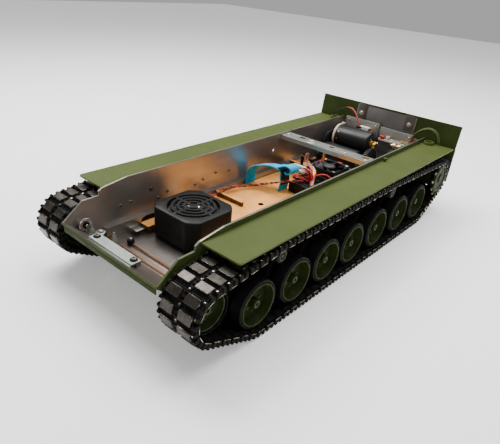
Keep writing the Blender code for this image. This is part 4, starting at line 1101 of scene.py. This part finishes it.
def ray_to_outline(ray, outline, cx, cy):
    """How far a ray from the centre goes before it meets the outline."""
    best = 0.0
    for (x0, y0), (x1, y1) in zip(outline, outline[1:] + outline[:1]):
        ax, ay, ex, ey = x0 - cx, y0 - cy, x1 - x0, y1 - y0
        cross = ray.x * ey - ray.y * ex
        if abs(cross) < 1e-12:
            continue
        t = (ax * ey - ay * ex) / cross
        u = (ax * ray.y - ay * ray.x) / cross
        if t > 0 and -1e-6 <= u <= 1 + 1e-6:
            best = max(best, t)
    return best


def speaker_case(made, low, high):
    """The eight-sided box with soft corners, and the round well that the driver sits in."""
    cut, top, well = CORNER_CUT, high.z, high.z - WALL_THICK - WELL_DEEP
    corners = [(low.x + cut, low.y), (high.x - cut, low.y), (high.x, low.y + cut), (high.x, high.y - cut),
               (high.x - cut, high.y), (low.x + cut, high.y), (low.x, high.y - cut), (low.x, low.y + cut)]
    outline = [tuple(p) for p in eased(corners, CORNER_EASE, True, 3)]
    turns = [math.tau * k / 64 for k in range(64)]
    turns += [math.atan2(y - SPEAKER_Y, x - SPEAKER_X) % math.tau for x, y in outline]
    rays = [Vector((math.cos(turn), math.sin(turn))) for turn in sorted({round(turn, 4) for turn in turns})]

    def around(reach, z, pull=0.0):
        """A ring at a radius, or along the outline where none is given, pulled in towards the middle."""
        middle = Vector((SPEAKER_X, SPEAKER_Y, z))
        ring = []
        for ray in rays:
            point = middle + ray.to_3d() * (reach or ray_to_outline(ray, outline, SPEAKER_X, SPEAKER_Y))
            ring.append(point + (middle - point).normalized() * pull)
        return ring

    bm = bmesh.new()
    rows = [(SPEAKER_HOLE, well), (SPEAKER_HOLE, top - WALL_THICK), (SPEAKER_HOLE, top - HOLE_EASE),
            (SPEAKER_HOLE + HOLE_EASE, top), (None, top, RIM_EASE),
            (None, top - 0.35 * RIM_EASE, 0.38 * RIM_EASE), (None, top - RIM_EASE),
            (None, low.z + 0.6 * RIM_EASE), (None, low.z, 0.6 * RIM_EASE)]
    rings = [[bm.verts.new(p) for p in around(*row)] for row in rows]
    skin(bm, rings)
    for ring, z in ((rings[0], well), (rings[-1], low.z)):
        middle = bm.verts.new((SPEAKER_X, SPEAKER_Y, z))
        for k, corner in enumerate(ring):
            bm.faces.new((ring[k - 1], corner, middle))
    made.add(bm, PLASTIC)


def speaker_grille(made, centre):
    """A middle disc, three rings and four spokes."""
    made.disc(-1.9, -0.1, 4.6, PLASTIC, 32, centre, "Z")
    for r0, r1 in ((7.6, 10.6), (13.4, 16.4), (19.2, 22.2)):
        made.ring([(-1.9, r0), (-0.4, r0), (-0.1, r0 + 0.3), (-0.1, r1 - 0.3), (-0.4, r1), (-1.9, r1)],
                  PLASTIC, 72, centre, "Z")
    for k in range(4):
        made.box((3.0, -1.5, -1.8), (26.0, 1.5, -0.2), PLASTIC, 0.3, centre @ spin(90 * k, "Z"))


def speaker_driver(made, centre):
    """The cone with its surround, and the bright rings on it."""
    made.turned([(-7.6, 0), (-7.6, 5.0), (-7.0, 6.0), (-5.6, 17.5), (-4.6, 19.0), (-4.6, 21.0), (-5.6, 22.6),
                 (-7.8, 22.8), (-8.1, 0)], CONE, 48, centre, "Z")
    made.ring([(-5.2, 21.4), (-4.4, 21.8), (-4.0, 23.0), (-4.4, 24.4), (-5.4, 24.8), (-5.6, 22.5)], CONE, 56,
              centre, "Z")
    for inner, outer, face in ((6.2, 8.4, -3.4), (10.6, 12.2, -3.6), (16.8, 18.0, -4.2)):
        made.ring([(face - 2.0, inner), (face - 0.5, inner + 0.3), (face, (inner + outer) / 2),
                   (face - 0.5, outer - 0.3), (face - 2.0, outer)], CHROME, 48, centre, "Z")


def speaker():
    low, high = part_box("speaker_box")
    made = Build(PLASTIC, CONE, CHROME, STEEL)
    centre = Matrix.Translation((SPEAKER_X, SPEAKER_Y, high.z))
    speaker_case(made, low, high)
    speaker_grille(made, centre)
    speaker_driver(made, centre)
    made.done("speaker_dressed", ["speaker_box"])


STRAP_FOOT_X, STRAP_LAY, STRAP_MIDDLE_Y, STRAP_WIDE, STRAP_ROLL = -17.5, 0.36, 26.5, 17.6, 2.4
ARCH_HOOKS, CURL_HOOKS = (46, 64, 1.05), (2, 44, -1.0)
STRAP_ARCH = [(-56.0, 40.9), (-56.2, 49.0), (-55.6, 54.0), (-54.2, 58.2), (-51.2, 62.4), (-46.2, 65.3),
              (-38.6, 67.4), (-30.6, 68.6), (-23.6, 68.0), (-18.4, 66.2), (-16.3, 63.0), (-16.0, 57.4),
              (-15.4, 51.4), (-15.8, 46.6), (-16.8, 40.9)]
STRAP_CURL = [(-25.0, 68.3), (-19.4, 69.6), (-13.6, 72.4), (-8.5, 73.8), (-4.0, 72.8), (-2.4, 69.8),
              (-3.8, 66.4), (-7.8, 64.6), (-10.8, 66.0)]


def strap():
    """The askew arch of loop strap, its free end curled into a second loop; hooks line both inside."""
    made = Build(STRAP, HOOKS)
    arch = smooth_route([mm(x, STRAP_MIDDLE_Y + STRAP_LAY * (x - STRAP_FOOT_X), z) for x, z in STRAP_ARCH], 5)
    curl = smooth_route([mm(x, STRAP_MIDDLE_Y, z) for x, z in STRAP_CURL], 6)
    arch_wide = [mm(0, STRAP_WIDE, -STRAP_ROLL * math.sin(math.pi * k / (len(arch) - 1)) ** 2)
                 for k in range(len(arch))]
    curl_wide = [mm(0, STRAP_WIDE, -STRAP_ROLL * 0.5)] * len(curl)
    made.strip(arch, arch_wide, 1.7, STRAP)
    made.strip(curl, curl_wide, 1.6, STRAP)
    for path, wide, (start, end, lift) in ((arch, arch_wide, ARCH_HOOKS), (curl, curl_wide, CURL_HOOKS)):
        frames = route_frames(path)[start:end]
        inner = [point + ahead.cross(wide[start]).normalized() * lift * MM for point, ahead, _, _ in frames]
        made.strip(inner, [w * 0.94 for w in wide[start:end]], 0.7, HOOKS)
    made.done("strap_dressed", ["battery_strap"])


FAN_X, FAN_Y, FAN_TOP, FAN_FOOT = 0.0, 99.0, 60.0, 51.2
FAN_HALF, FAN_BORE, FAN_SCREW = 20.0, 18.9, 16.2


def fan_frame(made):
    """The square frame round its bore, with four corner screws and four struts under the blades."""
    corner = [(-FAN_HALF, -FAN_HALF), (FAN_HALF, -FAN_HALF), (FAN_HALF, FAN_HALF), (-FAN_HALF, FAN_HALF)]
    outline = [tuple(p) for p in eased(corner, 3.0, True, 4)]
    turns = [math.tau * k / 72 for k in range(72)]
    bm = bmesh.new()
    rings = []
    rows = ((FAN_BORE, 0, FAN_FOOT + 0.3), (FAN_BORE, 0, FAN_TOP - 0.5), (FAN_BORE + 0.5, 0, FAN_TOP),
            (None, 0.3, FAN_TOP), (None, 0, FAN_FOOT))
    for reach, trim, z in rows:
        ring = []
        for ray in (Vector((math.cos(turn), math.sin(turn))) for turn in turns):
            r = reach or ray_to_outline(ray, outline, 0, 0) - trim
            ring.append(bm.verts.new(mm(FAN_X + ray.x * r, FAN_Y + ray.y * r, z)))
        rings.append(ring)
    skin(bm, rings, closed=True)
    made.add(bm, FAN)
    for dx in (-FAN_SCREW, FAN_SCREW):
        for dy in (-FAN_SCREW, FAN_SCREW):
            made.bolt((FAN_X + dx, FAN_Y + dy, FAN_TOP - 0.1), (0, 0, 1), 2.3, 0.9, STEEL)
    for k in range(4):
        strut = shift(FAN_X, FAN_Y, 0) @ spin(20 + 90 * k, "Z")
        made.box((7, -0.8, 51.6), (19.2, 0.8, 52.6), FAN, 0.2, strut)


def small_circuit_board(made):
    """The board on two posts beside the fan, with its plug and a chip."""
    made.box((-36.7, 86.0, 64.6), (-17.7, 94.6, 66.2), CIRCUIT, 0.2)
    made.box((-35.0, 87.6, 66.1), (-29.0, 93.0, 68.3), PLASTIC, 0.3)
    made.box((-24.6, 87.6, 66.1), (-20.0, 92.0, 67.6), PLASTIC, 0.2)
    made.box((-36.0, 87.0, 40.4), (-33.0, 90.0, 64.7), PLASTIC, 0.3)
    made.box((-21.0, 87.0, 51.0), (-18.6, 90.0, 64.7), PLASTIC, 0.3)


def controller():
    """Speed controller: case with a seam and a socket, under its fan frame."""
    made = Build(FAN, PLASTIC, STEEL, NYLON, CIRCUIT)
    low, high = (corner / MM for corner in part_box("speed_controller"))
    made.box(low, (high.x, high.y, 51.4), PLASTIC, 1.4, None, 3)
    made.box((low.x + 0.3, low.y - 0.15, 45.6), (high.x - 0.3, high.y + 0.15, 46.2), FAN, 0.2)
    fan_frame(made)
    made.box((12.0, 128.5, 47.0), (24.0, 133.0, 51.0), NYLON, 0.4)
    small_circuit_board(made)
    made.done("controller_dressed", ["speed_controller"])


def fan_blade(made, turn):
    """One twisted blade: a grid from root to tip by leading to trailing edge, given a thickness."""
    steps, root, reach, half_thick = 4, 8.0, 9.9, 0.35
    bm = bmesh.new()
    grids = []
    for lift in (half_thick, -half_thick):
        grid = []
        for i in range(steps + 1):
            r = root + reach * i / steps
            row = []
            for t in (j / steps for j in range(steps + 1)):
                angle = turn + math.radians(-24 + 46 * t) + i * 0.05
                height = -1.2 - 5.2 * t + 0.9 * math.sin(math.pi * t) + lift
                row.append(bm.verts.new(mm(r * math.cos(angle), r * math.sin(angle), height)))
            grid.append(row)
        grids.append(grid)
        for near, far in zip(grid, grid[1:]):
            for j in range(steps):
                bm.faces.new((near[j], far[j], far[j + 1], near[j + 1]))
    rims = [grid[0] + [row[-1] for row in grid[1:]] + grid[-1][-2::-1] + [row[0] for row in grid[-2:0:-1]]
            for grid in grids]
    skin(bm, rims)
    made.add(bm, FAN)


def fan():
    """The rotor: a hub with its label and seven blades."""
    made = Build(FAN, FAN_HUB)
    made.turned([(-7.0, 0), (-7.0, 8.4), (-1.0, 8.4), (-0.6, 8.0), (-0.6, 0)], FAN, 36, None, "Z")
    made.disc(-0.7, -0.35, 6.6, FAN_HUB, 28, None, "Z")
    for k in range(7):
        fan_blade(made, math.tau * k / 7)
    blades = made.mesh("fan_blades")
    piece("fan_dressed", blades, "fan_rotor", ["fan_rotor"], at_joint("fan"))


def receiver():
    """The receiver's case with its raised lid and a row of five sockets."""
    low, high = (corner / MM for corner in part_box("receiver_box"))
    made = Build(PLASTIC, FAN, NYLON, STEEL, CIRCUIT, WIRES["red"])
    made.box(low, high, PLASTIC, 1.0, None, 3)
    made.box((low.x + 4, low.y + 5, low.z), (high.x - 4, high.y - 5, high.z + 0.25), FAN, 0.2)
    for x in (low.x + 5.0 + 4.4 * k for k in range(5)):
        made.box((x, high.y - 7.5, 52.4), (x + 3.4, high.y - 1.2, 54.4), PLASTIC, 0.3)
    made.done("receiver_dressed", ["receiver_box"])


SPEAKER_LEAD = [(-40.0, -89.9, 50.0), (-43.0, -72.0, 49.0), (-46.5, -54.0, 48.0), (-51.0, -36.0, 47.6),
                (-51.0, -24.0, 46.0), (-47.0, -9.0, 44.5), (-38.0, 4.0, 45.5), (-27.0, 7.0, 50.0),
                (-15.5, 7.5, 55.0), (-9.0, 14.5, 57.0), (-4.0, 25.0, 56.0), (1.0, 37.0, 54.6),
                (5.5, 50.0, 54.4)]
RIBBON_LEAD = [(-28.0, 92.0, 67.3), (-27.5, 87.5, 68.2), (-24.5, 82.0, 65.8), (-16.0, 75.5, 62.2),
               (-4.0, 68.0, 61.5), (4.5, 60.0, 60.0), (9.5, 50.0, 57.5), (16.0, 38.0, 56.0),
               (22.0, 30.0, 57.0)]


def strands(name, route, radius, colors, strand, turns, replaced=()):
    """Thin wires laid or twisted round one route, built as one piece; radii in millimetres."""
    path = smooth_route([mm(*p) for p in route], 10)
    steps = [0.0] + [(b - a).length for a, b in zip(path, path[1:])]
    length = sum(steps)
    made = Build(*[WIRES[c] for c in dict.fromkeys(colors)])
    for i, color in enumerate(colors):
        line, gone = [], 0.0
        for step, (point, _, side, up) in zip(steps, route_frames(path)):
            gone += step
            angle = math.tau * (i / len(colors) + turns * gone / length)
            line.append(point + (side * math.cos(angle) + up * math.sin(angle)) * (radius - strand) * MM)
        made.tube(line, strand * MM, WIRES[color], 8)
    cord = made.done(name, replaced)


RECEIVER_BUNDLE = [(-1.0, 44.0, 66.2), (3.6, 43.6, 67.2), (8.0, 43.2, 66.0), (10.4, 43.2, 62.4),
                   (9.2, 43.6, 58.8), (5.0, 44.2, 56.8), (-1.5, 44.6, 55.8), (-8.0, 44.2, 55.2),
                   (-14.5, 42.6, 54.8)]
POWER_LOOP = [(4.0, 55.0, 56.4), (9.0, 57.0, 59.2), (14.0, 59.5, 61.6), (19.5, 62.0, 62.0),
              (25.0, 63.0, 60.0), (28.5, 63.5, 56.0), (29.5, 64.0, 50.0)]
FAN_LEAD = [(-21.0, 80.0, 57.6), (-17.5, 84.5, 60.4), (-15.2, 89.1, 61.0), (-14.6, 95.7, 61.0),
            (-14.8, 104.8, 61.0), (-18.0, 110.0, 60.8), (-21.5, 113.0, 58.0)]
NEAR_LAMP_LEAD = [(46.0, 214.0, 74.0), (48.8, 218.5, 80.0), (51.6, 220.5, 91.0), (57.0, 221.5, 98.0),
                  (64.0, 222.8, 102.6), (72.5, 224.0, 104.0), (80.0, 225.6, 99.6), (83.4, 227.6, 92.0),
                  (84.6, 229.0, 85.3)]
FAR_LAMP_LEAD = [(-24.2, 207.4, 87.9), (-27.5, 208.2, 94.0), (-35.5, 210.0, 103.3), (-42.5, 211.8, 107.2),
                 (-50.0, 214.0, 107.0), (-58.0, 216.0, 104.4), (-67.0, 219.0, 99.6), (-77.0, 223.5, 92.0),
                 (-82.0, 226.5, 86.0)]


def wiring():
    strands("speaker_wires", SPEAKER_LEAD, 1.4, ["red", "black"], 0.7, 12, ["speaker_lead"])
    strands("servo_wires", RIBBON_LEAD, 2.2, ["orange", "yellow", "purple", "red", "yellow", "white"], 0.78,
            1.5, ["ribbon_lead"])
    strands("receiver_wires", RECEIVER_BUNDLE, 3.0, ["red", "black", "red", "white", "red", "black", "red"],
            0.68, 0.7)
    strands("power_loop_wires", POWER_LOOP, 0.9, ["red"], 0.9, 0)
    strands("fan_wires", FAN_LEAD, 0.9, ["red", "purple"], 0.4, 2)
    strands("lamp_wires_left", NEAR_LAMP_LEAD, 1.5, ["near_sleeve", "green"], 0.6, 0.4)
    strands("lamp_wires_right", FAR_LAMP_LEAD, 0.9, ["sleeve"], 0.9, 0)


def connectors():
    """Plugs on the receiver's, the speaker's and the controller's leads."""
    made = Build(NYLON, PLASTIC, WIRES["red"])
    made.box((-19.0, 46.0, 65.6), (-1.4, 50.0, 68.8), NYLON, 0.6)
    made.box((-9.0, 42.4, 61.6), (0.0, 46.6, 65.0), NYLON, 0.6)
    made.box((-43.6, -91.0, 48.2), (-37.0, -84.6, 51.6), NYLON, 0.6)
    made.box((-3.0, 122.0, 52.0), (3.4, 128.0, 57.6), WIRES["red"], 0.8)
    made.box((5.0, 124.0, 51.5), (10.0, 129.0, 56.0), PLASTIC, 0.6)
    made.done("lead_connectors", ())


# ---------------------------------------------------------------- assembly

def dress_frame():
    refinish("hull_tub", HULL)
    for side, _ in SIDES:
        refinish("fender_" + side, FENDER, bevel=0.5)
        refinish("mud_flap_" + side, RUBBER, bevel=0.4)
    refinish("rear_plate", PLATE, bevel=0.3)
    refinish("crossbar", ZINC, bevel=0.35)
    refinish("front_bracket", PLAIN_ZINC, bevel=0.3)
    refinish("base_board", BOARD, bevel=0.15)


def floor():
    made = Build(FLOOR)
    bm = bmesh.new()
    bmesh.ops.create_grid(bm, x_segments=4, y_segments=4, size=3.0)
    made.add(bm, FLOOR)
    obj = bpy.data.objects.new("floor", made.mesh("floor"))
    bpy.context.scene.collection.objects.link(obj)
    obj.location.z = -0.15 * MM


place_camera()
light_scene()
wiring()
connectors()
dress_frame()
running_gear()
gear_trains()
for side_name, _ in SIDES:
    motor(side_name)
hull_fittings()
front_fittings()
rear_fittings()
fender_fittings()
crossbar_fittings()
speaker()
strap()
controller()
fan()
receiver()
floor()
